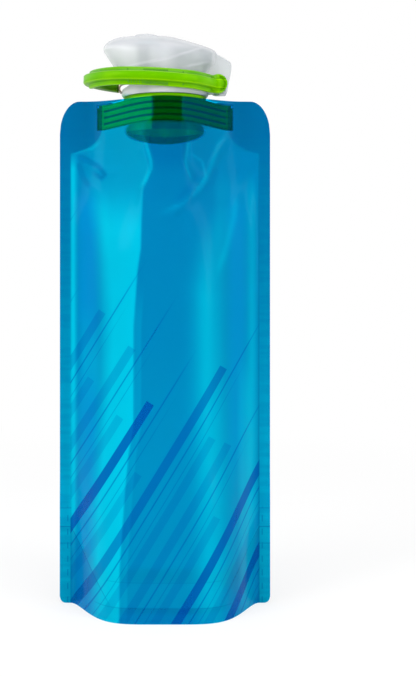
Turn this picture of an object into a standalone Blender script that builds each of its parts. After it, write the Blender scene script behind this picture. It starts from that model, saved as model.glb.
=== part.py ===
"""Collapsible water bottle: a flat-bottomed film pouch, a welded spout, a screw cap with a flip lid, and a
carabiner that hinges on the cap. Metres, +Z up, the origin under the middle of the base, +X the hinge side."""

import math

import bmesh
import bpy
from mathutils import Matrix, Vector

# Clearances and film
GAP = 0.0003
WELD_GAP = 0.0006
FILM = 0.0004

# Pouch, lying between its two films
POUCH_WIDTH = 0.127
POUCH_HEIGHT = 0.3025
SIDE_SEAL = 0.0065
BOTTOM_SEAL = 0.009
BASE_DEPTH = 0.040
BODY_DEPTH = 0.029
BASE_FADE = 0.140
BASE_CORNER = 5.0
GUSSET_RISE = 0.046
FLOOR_HALF = 0.028
SHOULDER_DROP = 0.0313
SHOULDER_SEAL = 0.0034
CORNER_WIDTH = 0.012
CORNER_HEIGHT = 0.020
FOOT_RADIUS = 0.004

# Spout, welded between the films
SPOUT_LENGTH = 0.083
SPOUT_RADIUS = 0.0238
SPOUT_WALL = 0.0020
SPOUT_SKIRT = 0.0067
WELD_TOP_DROP = 0.002
RIB_COUNT = 4
RIB_PITCH = 0.00375
RIB_HEIGHT = 0.0010
FIN_LENGTH = 0.0016
FIN_HALF = 0.0012
RIM_ABOVE_FILM = 0.002

# Neck and thread
NECK_RADIUS = 0.0212
NECK_BORE = 0.0195
NECK_HEIGHT = 0.005
THREAD_HEIGHT = 0.0008
THREAD_WIDTH = 0.0009
THREAD_LEAD = 0.0025
THREAD_GAP = 0.0004

# Gasket and screw cap
GASKET_WALL = 0.0018
GASKET_HEIGHT = 0.001
CAP_RADIUS = 0.0263
CAP_SIDE = 0.0052
CAP_WAIST = 0.0203
CAP_HEIGHT = 0.0140
CAP_TOP_WALL = 0.0018
NOZZLE_OFFSET = -0.011
NOZZLE_RADIUS = 0.0086
NOZZLE_TAPER = 0.0009
NOZZLE_BORE = 0.0060
NOZZLE_HEIGHT = 0.0165
LUG_HALF = 0.0042
LUG_RADIUS = 0.0042

# Hinge, an axis along Y
HINGE_X = 0.0315
HINGE_RISE = 0.007
BAR_RADIUS = 0.0024
SNAP_SLOT = 0.0036

# Flip lid
LID_WALL = 0.0016
LID_HALF = 0.0234
LID_FRONT = -0.0372
LID_BACK = 0.0312
LID_RIM_FRONT = -0.0265
LID_RIM_BACK = 0.0245
LID_RIM_GAP = 0.0115
LID_HEIGHT = 0.0365
HEEL_REACH = 0.0084
HEEL_RISE = 0.0180
HEEL_INNER = 0.0226
KNUCKLE_WALL = 0.0028
KNUCKLE_RADIUS = 0.0049
BUMP_LENGTH = 0.018
BUMP_HALF = 0.0075
BUMP_HEIGHT = 0.0018
PLUG_DEPTH = 0.0022
PLUG_DISC = 0.0016

# Carabiner
LOOP_REACH = 0.0773
LOOP_HALF = 0.0303
LOOP_TILT = math.radians(2.7)
FLANGE_WIDTH = 0.0029
FLANGE_HALF = 0.0052
SPINE_WIDTH = 0.0034
SPINE_HALF = 0.0025
EYE_RADIUS = 0.0055
FAR_EYE_RADIUS = 0.0036
EYE_GROOVE = 0.0007
EYE_GROOVE_IN = 0.0034
EYE_GROOVE_OUT = 0.0047
GATE_PIVOT = 0.0300
NOSE_END = 0.0570
STUB_HALF = 0.0033
STUB_LENGTH = 0.0062
HOOD_LENGTH = 0.0048
NOTCH_LENGTH = 0.0040
NOTCH_DEPTH = 0.0080
SOFT_EDGE = 0.0006
STUB_END = 0.0032
STUB_TAPER = 0.0018

# Gate wire
WIRE_RADIUS = 0.0009
WIRE_TIP_HALF = 0.0030
WIRE_TIP_REACH = 0.0034
WIRE_TIP_SIDE = 0.0256
WIRE_BEND = 0.0014
PIN_DEPTH = 0.0012

# Heights and places that follow from the sizes above
WELD_TOP = POUCH_HEIGHT - WELD_TOP_DROP
WELD_BOTTOM = WELD_TOP - RIB_COUNT * RIB_PITCH
RIM_TOP = POUCH_HEIGHT + RIM_ABOVE_FILM
NECK_TOP = RIM_TOP + NECK_HEIGHT
RIM_RADIUS = SPOUT_RADIUS + RIB_HEIGHT
THREAD_START = RIM_TOP + 0.0017
CAP_BOTTOM = RIM_TOP + GAP
CAP_TOP = CAP_BOTTOM + CAP_HEIGHT
HINGE_Z = RIM_TOP + HINGE_RISE
NOZZLE_TOP = CAP_TOP + NOZZLE_HEIGHT
HALF_WIDTH = POUCH_WIDTH / 2
OPEN_HALF = HALF_WIDTH - SIDE_SEAL
LUG_BORE = BAR_RADIUS + GAP
KNUCKLE_IN = LUG_HALF + GAP
KNUCKLE_OUT = KNUCKLE_IN + KNUCKLE_WALL
EYE_IN = KNUCKLE_OUT + GAP
GATE_LEG_HALF = STUB_HALF + GAP + WIRE_RADIUS
HINGE = Vector((HINGE_X, 0, HINGE_Z))

LIME = (0.150, 0.520, 0.0)
FILM_BLUE = (0.0, 0.270, 0.620)
FROSTED = (0.78, 0.81, 0.82)


def clamp(value, low=0.0, high=1.0):
    return max(low, min(high, value))


def mix(a, b, share):
    return a + (b - a) * share


def ease(value):
    t = clamp(value)
    return t * t * (3 - 2 * t)


def material(name, colour, roughness, metallic=0.0, alpha=1.0):
    made = bpy.data.materials.new(name)
    made.use_nodes = True
    shader = made.node_tree.nodes["Principled BSDF"]
    shader.inputs["Base Color"].default_value = (*colour, 1)
    shader.inputs["Roughness"].default_value = roughness
    shader.inputs["Metallic"].default_value = metallic
    shader.inputs["Alpha"].default_value = alpha
    return made


def add_object(name, mesh):
    made = bpy.data.objects.new(name, mesh)
    bpy.context.scene.collection.objects.link(made)
    return made


def mesh_object(name, points, faces):
    """A mesh object with its faces turned outwards."""
    mesh = bpy.data.meshes.new(name)
    mesh.from_pydata(points, [], faces)
    work = bmesh.new()
    work.from_mesh(mesh)
    bmesh.ops.recalc_face_normals(work, faces=work.faces)
    work.to_mesh(mesh)
    work.free()
    return add_object(name, mesh)


def ring_faces(first, second, count, closed=True):
    steps = count if closed else count - 1
    return [(first + i, first + (i + 1) % count, second + (i + 1) % count, second + i) for i in range(steps)]


def loft(name, rings):
    """A solid through rings with the same number of points, its ends capped."""
    count = len(rings[0])
    points = [point for ring in rings for point in ring]
    faces = []
    for i in range(len(rings) - 1):
        faces += ring_faces(i * count, (i + 1) * count, count)
    faces.append(tuple(range(count)))
    faces.append(tuple(range(len(points) - count, len(points))))
    return mesh_object(name, points, faces)


def lathe(name, profile, centre_x=0.0, segments=36):
    """A solid turned about a vertical axis from (radius, height) pairs. A profile either starts and ends on the
    axis, or closes on itself as a ring."""
    on_axis = profile[0][0] == 0
    turned = profile[1:-1] if on_axis else profile
    points = []
    for radius, height in turned:
        for i in range(segments):
            angle = math.tau * i / segments
            points.append((centre_x + radius * math.cos(angle), radius * math.sin(angle), height))
    faces = []
    for i in range(len(turned) - 1):
        faces += ring_faces(i * segments, (i + 1) * segments, segments)
    if on_axis:
        last = (len(turned) - 1) * segments
        faces.append(tuple(range(segments)))
        faces.append(tuple(range(last, last + segments)))
    else:
        faces += ring_faces((len(turned) - 1) * segments, 0, segments)
    return mesh_object(name, points, faces)


def box(name, low, high):
    points = [(x, y, z) for z in (low[2], high[2]) for x, y in
              ((low[0], low[1]), (high[0], low[1]), (high[0], high[1]), (low[0], high[1]))]
    return loft(name, [points[:4], points[4:]])


def cylinder_y(name, centre, radius, low_y, high_y, segments=28):
    """A cylinder along Y about centre, an (x, z) pair."""
    turns = [math.tau * i / segments for i in range(segments)]
    rings = [[(centre[0] + radius * math.cos(a), y, centre[1] + radius * math.sin(a)) for a in turns]
             for y in (low_y, high_y)]
    return loft(name, rings)


def hinge_arc(radius, from_degrees, to_degrees, steps=8):
    """Points of an arc about the hinge axis, as (x, z) pairs."""
    turns = [math.radians(mix(from_degrees, to_degrees, i / steps)) for i in range(steps + 1)]
    return [(HINGE_X + radius * math.cos(turn), HINGE_Z + radius * math.sin(turn)) for turn in turns]


def extrude_y(name, outline, half):
    """A plate from an outline of (x, z) pairs, from -half to half along Y."""
    return loft(name, [[(x, y, z) for x, z in outline] for y in (-half, half)])


def combine(base, operation, *tools):
    """Joins, cuts or intersects base with each tool in turn, and removes the tools."""
    for tool in tools:
        step = base.modifiers.new(operation.lower(), "BOOLEAN")
        step.operation = operation
        step.object = tool
        step.solver = "EXACT"
        graph = bpy.context.evaluated_depsgraph_get()
        old = base.data
        base.data = bpy.data.meshes.new_from_object(base.evaluated_get(graph))
        base.data.name = base.name
        base.modifiers.clear()
        bpy.data.meshes.remove(old)
        bpy.data.objects.remove(tool)
    return base


def finish(made, surface, crease_degrees=32):
    made.data.materials.clear()
    made.data.materials.append(surface)
    made.data.shade_smooth()
    made.data.set_sharp_from_angle(angle=math.radians(crease_degrees))
    return made


def spline(points, steps):
    """A smooth curve through points, with steps samples between each pair."""
    padded = [2 * points[0] - points[1], *points, 2 * points[-1] - points[-2]]
    curve = []
    for a, b, c, d in zip(padded, padded[1:], padded[2:], padded[3:]):
        for i in range(steps):
            t = i / steps
            curve.append(0.5 * (2 * b + (c - a) * t + (2 * a - 5 * b + 4 * c - d) * t * t
                                + (3 * b - a - 3 * c + d) * t ** 3))
    return curve + [points[-1]]


# Pouch shape

def boat_half(x, radius, half_length, tip):
    """Half the thickness of the spout's boat shape: a round middle with hollow flanks that end in flat tips."""
    x = abs(x)
    turn = math.radians(50)
    join = radius * math.cos(turn)
    if x <= join:
        return math.sqrt(radius ** 2 - x ** 2)
    if x >= half_length:
        return tip
    run = half_length - join
    t = (x - join) / run
    start = radius * math.sin(turn)
    slope = -run / math.tan(turn)
    return ((2 * t ** 3 - 3 * t ** 2 + 1) * start + (t ** 3 - 2 * t ** 2 + t) * slope
            + (3 * t ** 2 - 2 * t ** 3) * tip)


def boat_places(radius, half_length):
    """Distances from the middle at which the boat shape is drawn."""
    join = radius * math.cos(math.radians(50))
    return [join * i / 4 for i in range(4)] + [mix(join, half_length, i / 5) for i in range(6)]


def weld_half(x):
    """The films' inner face where they are welded round the spout."""
    return boat_half(x, RIM_RADIUS + GAP, SPOUT_LENGTH / 2 + 0.007, 0)


def seal_line(x):
    """Height of the line where the gusset leaves the front film: level in the middle, rising to each side."""
    start = FLOOR_HALF + 0.007
    share = clamp((abs(x) - start) / (OPEN_HALF - start))
    return BOTTOM_SEAL + (GUSSET_RISE - BOTTOM_SEAL) * share ** 1.45


def floor_line(x):
    """Height of the gusset on the centre plane: flat on the ground in the middle, rising to each side."""
    share = clamp((abs(x) - FLOOR_HALF) / (OPEN_HALF - FLOOR_HALF))
    return FILM + (seal_line(x) - FILM) * share ** 1.2


def open_half(z):
    """Half the width of the space between the films, drawn in at the welded shoulders."""
    share = clamp((z - (POUCH_HEIGHT - SHOULDER_DROP)) / (WELD_BOTTOM - POUCH_HEIGHT + SHOULDER_DROP))
    return mix(OPEN_HALF, SPOUT_LENGTH / 2 - SHOULDER_SEAL, (1 - (1 - share) ** 2) ** (2 / 3))


def film_depth(x, z):
    """The front film's inner face, as a distance from the centre plane."""
    reach = clamp(abs(x) / open_half(z))
    base = BASE_DEPTH * (1 - reach ** BASE_CORNER) ** 2
    body = BODY_DEPTH * (1 - reach ** 2.5) ** 1.5
    depth = mix(base, body, ease(z / BASE_FADE))
    to_spout = ease((z - WELD_BOTTOM + 0.075) / 0.068)
    depth = mix(depth, weld_half(x), to_spout)
    under_line = ease((seal_line(x) + 0.034 - z) / 0.022)
    return depth + GAP / 2 + (FILM + WELD_GAP) * under_line


def top_edge(x):
    """Height of the films' top edge, rounded at its corners."""
    past = clamp((abs(x) - HALF_WIDTH + CORNER_WIDTH) / CORNER_WIDTH)
    return POUCH_HEIGHT - CORNER_HEIGHT * (1 - math.sqrt(1 - past ** 2))


def bottom_edge(x):
    past = clamp((abs(x) - HALF_WIDTH + FOOT_RADIUS) / FOOT_RADIUS)
    return FOOT_RADIUS * (1 - math.sqrt(1 - past ** 2))


def width_stations():
    """Places across the pouch: those of the spout's boat shape, then closer together towards the sides."""
    tip = SPOUT_LENGTH / 2 - FIN_LENGTH
    right = boat_places(SPOUT_RADIUS, tip) + [mix(tip, OPEN_HALF, share) for share in (0.3, 0.58, 0.82, 1)]
    right += [HALF_WIDTH - FOOT_RADIUS, HALF_WIDTH - 0.4 * FOOT_RADIUS, HALF_WIDTH]
    return [-x for x in reversed(right[1:])] + right


def grid_faces(columns, rows):
    return [(c * rows + r, (c + 1) * rows + r, (c + 1) * rows + r + 1, c * rows + r + 1)
            for c in range(columns - 1) for r in range(rows - 1)]


def make_wall(name, side):
    """The front film for side -1, and the back film for side 1."""
    heights = [0, 0.013, 0.03, 0.055, 0.085, 0.12, 0.165, 0.24, 0.34, 0.46, 0.6, 0.72, 0.8, 0.86, 0.9, 0.94, 1]
    grid = []
    for x in width_stations():
        bottom = bottom_edge(x)
        column = []
        for share in heights:
            z = mix(bottom, top_edge(x), share)
            column.append((x, side * film_depth(x, z), z))
        grid.append(column)
    mesh = bpy.data.meshes.new(name)
    mesh.from_pydata([point for column in grid for point in column], [], grid_faces(len(grid), len(grid[0])))
    sheet = add_object(name, mesh)
    wall = sheet.modifiers.new("film", "SOLIDIFY")
    wall.thickness = FILM
    wall.offset = -side
    return sheet


def gusset_path(x):
    """The gusset's wet face at x, from its front edge over its fold to the middle, as (y, z) pairs."""
    bottom = bottom_edge(x)
    line = seal_line(x)
    path = []
    for share in (0, 0.35, 0.7, 1):
        z = mix(bottom, line, share)
        path.append((-(film_depth(x, z) - WELD_GAP), z))
    half = film_depth(x, line) - WELD_GAP
    turn = min(half, 0.0009)
    for i in range(1, 7):
        angle = math.pi / 2 * i / 6
        z = line + turn * math.sin(angle) - (line - floor_line(x)) * (1 - math.cos(angle) ** 4)
        fall = clamp(half / BASE_DEPTH)
        z -= turn * fall * ease((1 - math.cos(angle)) * 3)
        path.append((-half * math.cos(angle), max(z, FILM)))
    return path


def offset_path(path):
    """The gusset's dry face: the wet path moved sideways by the film, with its corners mitred."""
    moved = []
    for i, (y, z) in enumerate(path):
        before = path[max(i - 1, 0)]
        after = path[min(i + 1, len(path) - 1)]
        normals = []
        for (y0, z0), (y1, z1) in ((before, (y, z)), ((y, z), after)):
            run = math.hypot(y1 - y0, z1 - z0)
            if run > 0:
                normals.append(((z1 - z0) / run, (y0 - y1) / run))
        if i == len(path) - 1:
            normals = [(0, -1)]
        first, second = normals[0], normals[-1]
        spread = 1 + first[0] * second[0] + first[1] * second[1]
        scale = FILM / max(spread, 0.45)
        moved.append((y + scale * (first[0] + second[0]), max(z + scale * (first[1] + second[1]), 0)))
    return moved


def make_gusset():
    """The gusset, as a closed sheet between its wet and its dry face."""
    wet, dry = [], []
    for x in width_stations():
        front = gusset_path(x)
        for grid, path in ((wet, front), (dry, offset_path(front))):
            column = [(x, y, z) for y, z in path]
            grid.append(column + [(x, -y, z) for y, z in reversed(path[:-1])])
    columns, rows = len(wet), len(wet[0])
    points = [point for grid in (wet, dry) for column in grid for point in column]
    size = columns * rows
    top = grid_faces(columns, rows)
    faces = top + [tuple(size + i for i in reversed(face)) for face in top]
    edge = [c * rows for c in range(columns)]
    edge += [(columns - 1) * rows + r for r in range(1, rows)]
    edge += [c * rows + rows - 1 for c in reversed(range(columns - 1))]
    edge += [r for r in reversed(range(1, rows - 1))]
    for i, corner in enumerate(edge):
        following = edge[(i + 1) % len(edge)]
        faces.append((corner, following, size + following, size + corner))
    return mesh_object("gusset_film", points, faces)


# Spout

def boat_ring(radius, half_length, tip, z):
    """A closed ring of the spout's boat shape at height z."""
    xs = boat_places(SPOUT_RADIUS, half_length)
    front = [(x, -boat_half(x, radius, half_length, tip), z) for x in [-x for x in reversed(xs[1:])] + xs]
    return front + [(x, -y, z) for x, y, z in reversed(front)]


def helix_ridge(name, root, crest, start_z, from_turn, turns, segments=32):
    """A screw thread's ridge between two radii, tapering to nothing at both ends."""
    rings = []
    steps = int(segments * turns)
    for i in range(steps + 1):
        turn = from_turn + turns * i / steps
        angle = math.tau * turn
        fade = clamp(min(i, steps - i) / 3, 0.15, 1)
        z = start_z + THREAD_LEAD * turn
        tip = mix(root, crest, fade)
        ring = []
        for radius, rise in ((root, -0.5), (root, 0.5), (tip, 0.28), (tip, -0.28)):
            ring.append((radius * math.cos(angle), radius * math.sin(angle), z + rise * THREAD_WIDTH))
        rings.append(ring)
    return loft(name, rings)


def make_spout():
    half = SPOUT_LENGTH / 2 - FIN_LENGTH
    rings = []
    for i in range(RIB_COUNT):
        low = WELD_BOTTOM + i * RIB_PITCH
        for share, out in ((0, 0), (0.2, RIB_HEIGHT), (0.8, RIB_HEIGHT)):
            rings.append(boat_ring(SPOUT_RADIUS + out, half, 0.0006 + out / 2, low + share * RIB_PITCH))
    rings.append(boat_ring(SPOUT_RADIUS, half, 0.0006, WELD_TOP))
    spout = loft("spout_fitment", rings)
    skirt_bottom = WELD_BOTTOM - SPOUT_SKIRT
    bore = SPOUT_RADIUS - SPOUT_WALL
    weld_high = WELD_TOP - 0.2 * RIB_PITCH
    body = lathe("body", [(0, skirt_bottom), (SPOUT_RADIUS - 0.0002, skirt_bottom),
                          (SPOUT_RADIUS - 0.0002, weld_high - 0.0005), (RIM_RADIUS, weld_high + 0.0006),
                          (RIM_RADIUS, RIM_TOP), (NECK_RADIUS, RIM_TOP), (NECK_RADIUS, NECK_TOP - 0.0005),
                          (NECK_RADIUS - 0.0005, NECK_TOP), (0, NECK_TOP)])
    fins = []
    for side in (-1, 1):
        x = side * (half + FIN_LENGTH / 2 - 0.0004)
        low = (x - FIN_LENGTH / 2, -FIN_HALF, WELD_BOTTOM)
        high = (x + FIN_LENGTH / 2, FIN_HALF, WELD_TOP - 0.0015)
        fins.append(box("fin", low, high))
    thread = helix_ridge("thread", NECK_RADIUS - 0.0003, NECK_RADIUS + THREAD_HEIGHT, THREAD_START, 0.02, 0.9)
    combine(spout, "UNION", body, *fins, thread)
    hollow = lathe("hollow", [(0, skirt_bottom - 0.001), (bore, skirt_bottom - 0.001), (bore, RIM_TOP - 0.0025),
                              (NECK_BORE, RIM_TOP), (NECK_BORE, NECK_TOP + 0.001), (0, NECK_TOP + 0.001)])
    return combine(spout, "DIFFERENCE", hollow)


# Cap

def make_gasket():
    inner = RIM_RADIUS - GASKET_WALL - 2 * GAP
    low = RIM_TOP + GAP
    outer = inner + GASKET_WALL
    return lathe("cap_gasket", [(inner, low), (outer, low), (outer, low + GASKET_HEIGHT),
                                (inner, low + GASKET_HEIGHT)])


def make_cap():
    thread_root = NECK_RADIUS + THREAD_HEIGHT + THREAD_GAP
    gasket_out = RIM_RADIUS - GAP
    gasket_top = RIM_TOP + 2 * GAP + GASKET_HEIGHT
    ceiling = NECK_TOP + GAP
    side_top = CAP_BOTTOM + CAP_SIDE
    shoulder = side_top + 0.0030
    inside = CAP_WAIST - CAP_TOP_WALL
    r = CAP_RADIUS
    outside = [(r - 0.0010, CAP_BOTTOM), (r - 0.0002, CAP_BOTTOM + 0.0010), (r, CAP_BOTTOM + 0.0022),
               (r - 0.0004, side_top - 0.0009), (r - 0.0014, side_top), (r - 0.0022, side_top + 0.0001),
               (r - 0.0026, side_top + 0.0007), (CAP_WAIST + 0.0008, shoulder - 0.0004), (CAP_WAIST, shoulder + 0.0006),
               (CAP_WAIST - 0.0002, CAP_TOP - 0.0012), (CAP_WAIST - 0.0014, CAP_TOP), (0, CAP_TOP)]
    within = [(0, CAP_TOP - CAP_TOP_WALL), (inside - 0.0010, CAP_TOP - CAP_TOP_WALL),
              (inside, CAP_TOP - CAP_TOP_WALL - 0.0010), (inside, ceiling), (thread_root, ceiling),
              (thread_root, gasket_top), (gasket_out, gasket_top), (gasket_out, CAP_BOTTOM)]
    # The shell's inner and outer walls each end on the axis, so the shell is the outside less the inside.
    cap = lathe("cap_base", [(0, CAP_BOTTOM), *outside])
    below = CAP_BOTTOM - 0.001
    hollow = lathe("hollow", [*within, (gasket_out, below), (0, below)])
    nozzle = lathe("nozzle", [(0, CAP_TOP - 0.001), (NOZZLE_RADIUS + 0.0004, CAP_TOP - 0.001),
                              (NOZZLE_RADIUS + 0.0002, CAP_TOP + 0.0010), (NOZZLE_RADIUS, CAP_TOP + 0.0025),
                              (NOZZLE_RADIUS - NOZZLE_TAPER, NOZZLE_TOP - 0.0035),
                              (NOZZLE_RADIUS - NOZZLE_TAPER + 0.0004, NOZZLE_TOP - 0.0022),
                              (NOZZLE_RADIUS - NOZZLE_TAPER + 0.0002, NOZZLE_TOP - 0.0008),
                              (NOZZLE_RADIUS - NOZZLE_TAPER - 0.0007, NOZZLE_TOP), (0, NOZZLE_TOP)],
                   NOZZLE_OFFSET, 28)
    bore = lathe("bore", [(0, CAP_TOP - 0.004), (NOZZLE_BORE, CAP_TOP - 0.004), (NOZZLE_BORE, NOZZLE_TOP - 0.0006),
                          (NOZZLE_BORE + 0.0006, NOZZLE_TOP), (NOZZLE_BORE + 0.0006, NOZZLE_TOP + 0.001),
                          (0, NOZZLE_TOP + 0.001)], NOZZLE_OFFSET, 28)
    root_x = CAP_RADIUS - 0.0045
    lug = extrude_y("lug", [(root_x, CAP_BOTTOM + 0.0031), *hinge_arc(LUG_RADIUS, -90, 90, 12),
                            (root_x, HINGE_Z + LUG_RADIUS - 0.0012)], LUG_HALF)
    combine(cap, "UNION", lug, nozzle)
    ridge = helix_ridge("ridge", thread_root + 0.0003, NECK_RADIUS + THREAD_GAP,
                        THREAD_START - THREAD_LEAD / 2, 0.65, 0.85)
    combine(cap, "DIFFERENCE", hollow)
    combine(cap, "UNION", ridge)
    pin_hole = cylinder_y("pin_hole", (HINGE_X, HINGE_Z), LUG_BORE, -2 * LUG_HALF, 2 * LUG_HALF)
    slot = box("slot", (HINGE_X - SNAP_SLOT / 2, -2 * LUG_HALF, HINGE_Z - 2 * LUG_RADIUS),
               (HINGE_X + SNAP_SLOT / 2, 2 * LUG_HALF, HINGE_Z))
    return combine(cap, "DIFFERENCE", bore, pin_hole, slot)


# Flip lid

def lid_ring(front, back, half, crown, count=36, fullness=2.25):
    """An oval ring between front and back ends given as (x, z) pairs. It slants from one to the other, and
    crown lifts it in between."""
    middle = (front[0] + back[0]) / 2
    reach = (back[0] - front[0]) / 2
    ring = []
    for i in range(count):
        angle = math.tau * (i + 0.5) / count
        c, s = math.cos(angle), math.sin(angle)
        x = middle + reach * math.copysign(abs(c) ** (2 / fullness), c)
        y = half * math.copysign(abs(s) ** (2 / fullness), s)
        share = clamp((x - front[0]) / (back[0] - front[0]))
        ring.append((x, y, mix(front[1], back[1], share) + crown * math.sin(math.pi * share ** 1.3)))
    return ring


def lid_rings():
    """The lid's outer rings from its rim up, as front end, back end, half width and crown."""
    rim = CAP_BOTTOM + LID_RIM_GAP
    top = CAP_BOTTOM + LID_HEIGHT
    return [
        ((LID_RIM_FRONT, rim), (LID_RIM_BACK, rim - 0.0042), LID_HALF - 0.0008, 0),
        ((LID_RIM_FRONT - 0.0019, rim + 0.0026), (LID_RIM_BACK + 0.0006, rim - 0.0014), LID_HALF - 0.0006, 0),
        ((LID_RIM_FRONT - 0.0050, rim + 0.0078), (LID_RIM_BACK + 0.0022, rim + 0.0034), LID_HALF - 0.0002, 0),
        ((LID_FRONT + 0.0014, top - 0.0104), (LID_BACK - 0.0007, top - 0.0170), LID_HALF, 0),
        ((LID_FRONT, top - 0.0078), (LID_BACK, top - 0.0120), LID_HALF - 0.0006, 0.0003),
        ((LID_FRONT + 0.0008, top - 0.0052), (LID_BACK - 0.0004, top - 0.0096), LID_HALF - 0.0024, 0.0007),
        ((LID_FRONT + 0.0038, top - 0.0027), (LID_BACK - 0.0018, top - 0.0084), LID_HALF - 0.0058, 0.0013),
        ((LID_FRONT + 0.0085, top - 0.0008), (LID_BACK - 0.0055, top - 0.0073), LID_HALF - 0.0100, 0.0019),
        ((LID_FRONT + 0.0160, top - 0.0001), (LID_BACK - 0.0120, top - 0.0056), LID_HALF - 0.0150, 0.0023),
    ]


def make_lid():
    rings = [lid_ring(*ring) for ring in lid_rings()]
    count = len(rings[0])
    faces = []
    for i in range(len(rings) - 1):
        faces += ring_faces(i * count, (i + 1) * count, count)
    points = [point for ring in rings for point in ring]
    last = len(points) - count
    middle = sum((Vector(point) for point in rings[-1]), Vector()) / count
    points.append((middle.x, middle.y, middle.z + 0.0006))
    faces += [(last + i, last + (i + 1) % count, len(points) - 1) for i in range(count)]
    lid = mesh_object("flip_lid", points, faces)
    wall = lid.modifiers.new("wall", "SOLIDIFY")
    wall.thickness = LID_WALL
    wall.offset = -1
    wall.use_even_offset = True

    heel_x = HINGE_X + HEEL_REACH
    top = HINGE_Z + HEEL_RISE
    knuckle = KNUCKLE_RADIUS
    outline = [*hinge_arc(knuckle, 180, 275), (HINGE_X + 0.0056, HINGE_Z - 0.0048), (HINGE_X + 0.0062, HINGE_Z - 0.0018),
               (heel_x - 0.0017, HINGE_Z + 0.0014), (heel_x - 0.0003, HINGE_Z + 0.0078),
               (heel_x - 0.0001, HINGE_Z + 0.0105), (heel_x - 0.0001, top - 0.0060), (heel_x - 0.0007, top - 0.0043),
               (heel_x - 0.0028, top - 0.0029), (heel_x - 0.0049, top - 0.0015), (HINGE_X + 0.0004, top),
               (LID_BACK - 0.0008, top + 0.0015), (LID_BACK - 0.0032, top + 0.0031), (HEEL_INNER + 0.0008, top + 0.0042),
               (HEEL_INNER, HINGE_Z + 0.0080)]
    heel = extrude_y("heel", outline, KNUCKLE_OUT)
    bump = lathe("bump", [(0, 0), (1, 0), (0.93, 0.55), (0.74, 0.9), (0.4, 1), (0, 1)], 0, 36)
    crown = CAP_BOTTOM + LID_HEIGHT - 0.0006
    for vertex in bump.data.vertices:
        x, y, z = vertex.co
        x = NOZZLE_OFFSET + x * BUMP_LENGTH / 2
        slope = -0.06 * (x - NOZZLE_OFFSET)
        vertex.co = (x, y * BUMP_HALF, crown + slope + (BUMP_HEIGHT + 0.0006) * z - 0.0002)
    combine(lid, "UNION", heel, bump)
    channel = extrude_y("channel", [(HINGE_X - 0.012, HINGE_Z - 0.012), (HINGE_X + knuckle, HINGE_Z - 0.012),
                                    *hinge_arc(knuckle, 0, 90), (HINGE_X - 0.012, HINGE_Z + knuckle)], KNUCKLE_IN)
    pin_hole = cylinder_y("pin_hole", (HINGE_X, HINGE_Z), LUG_BORE, -2 * KNUCKLE_OUT, 2 * KNUCKLE_OUT)
    slot = box("slot", (HINGE_X - 2 * knuckle, -2 * KNUCKLE_OUT, HINGE_Z - SNAP_SLOT / 2),
               (HINGE_X, 2 * KNUCKLE_OUT, HINGE_Z + SNAP_SLOT / 2))
    return combine(lid, "DIFFERENCE", channel, pin_hole, slot)


def make_plug():
    under = CAP_BOTTOM + LID_HEIGHT - 0.0011 - LID_WALL - GAP
    lip = NOZZLE_TOP + GAP
    disc = NOZZLE_RADIUS - 0.0006
    stem = NOZZLE_BORE - 0.0008
    return lathe("lid_plug_seal", [(0, lip - PLUG_DEPTH), (stem - 0.0014, lip - PLUG_DEPTH), (stem, lip),
                                   (disc, lip), (disc, lip + PLUG_DISC), (disc - 0.0022, lip + PLUG_DISC + 0.0003),
                                   (disc - 0.0028, under), (0, under)], NOZZLE_OFFSET, 32)


# Carabiner, drawn flat with its crossbar on the hinge and then tilted up by LOOP_TILT

def loop_path():
    """The outer face of the flange from the near eye round to the far eye, as distances from the hinge and
    sideways. The near arm has negative sideways distances."""
    clear = CAP_RADIUS + 2 * GAP + FLANGE_WIDTH
    quarter = [(0, EYE_IN + FLANGE_WIDTH), (0.55 * EYE_RADIUS, EYE_IN + 1.4 * FLANGE_WIDTH)]
    for angle in (33, 47, 62):
        turn = math.radians(angle)
        quarter.append((HINGE_X - clear * math.cos(turn), clear * math.sin(turn)))
    for reach, side in ((0.432, 1), (0.606, 0.987), (0.774, 0.865), (0.905, 0.587), (0.986, 0.247)):
        quarter.append((reach * LOOP_REACH, side * LOOP_HALF))
    near = [Vector((reach, -side, 0)) for reach, side in quarter]
    far = [Vector((reach, side, 0)) for reach, side in reversed(quarter)]
    return spline(near + [Vector((LOOP_REACH, 0, 0))] + far, 3)


def placed(reach, side, height):
    """A point of the flat carabiner in the object's own frame at rest."""
    flat = Vector((-reach, side, height))
    return HINGE + Matrix.Rotation(LOOP_TILT, 3, "Y") @ flat


def section(flange_half, spine_half, flange_in, spine_out):
    """The arm's section from (outward, height) pairs: a tall flange inside and a narrower spine outside."""
    soft = SOFT_EDGE
    side = [(flange_in, -flange_half + soft), (flange_in + soft, -flange_half), (-soft, -flange_half),
            (0, -flange_half + soft), (0.7 * soft, -spine_half - 0.2 * soft), (spine_out - soft, -spine_half),
            (spine_out, -spine_half + soft)]
    return side + [(out, -height) for out, height in reversed(side)]


def sweep_arm(name, path, sections):
    rings = []
    for i, point in enumerate(path):
        ahead = path[min(i + 1, len(path) - 1)] - path[max(i - 1, 0)]
        ahead.normalize()
        outward = Vector((ahead.y, -ahead.x, 0))
        ring = []
        for out, height in sections[i]:
            at = point + outward * out
            ring.append(placed(at.x, at.y, height))
        rings.append(ring)
    return loft(name, rings)


def gate_line():
    """The gate's pivot and the wire's tip at rest, each as a distance from the hinge and sideways."""
    pivot = Vector((GATE_PIVOT, LOOP_HALF - FLANGE_WIDTH / 2, 0))
    tip = Vector((NOSE_END + WIRE_TIP_REACH, WIRE_TIP_SIDE, 0))
    return pivot, tip


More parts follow.
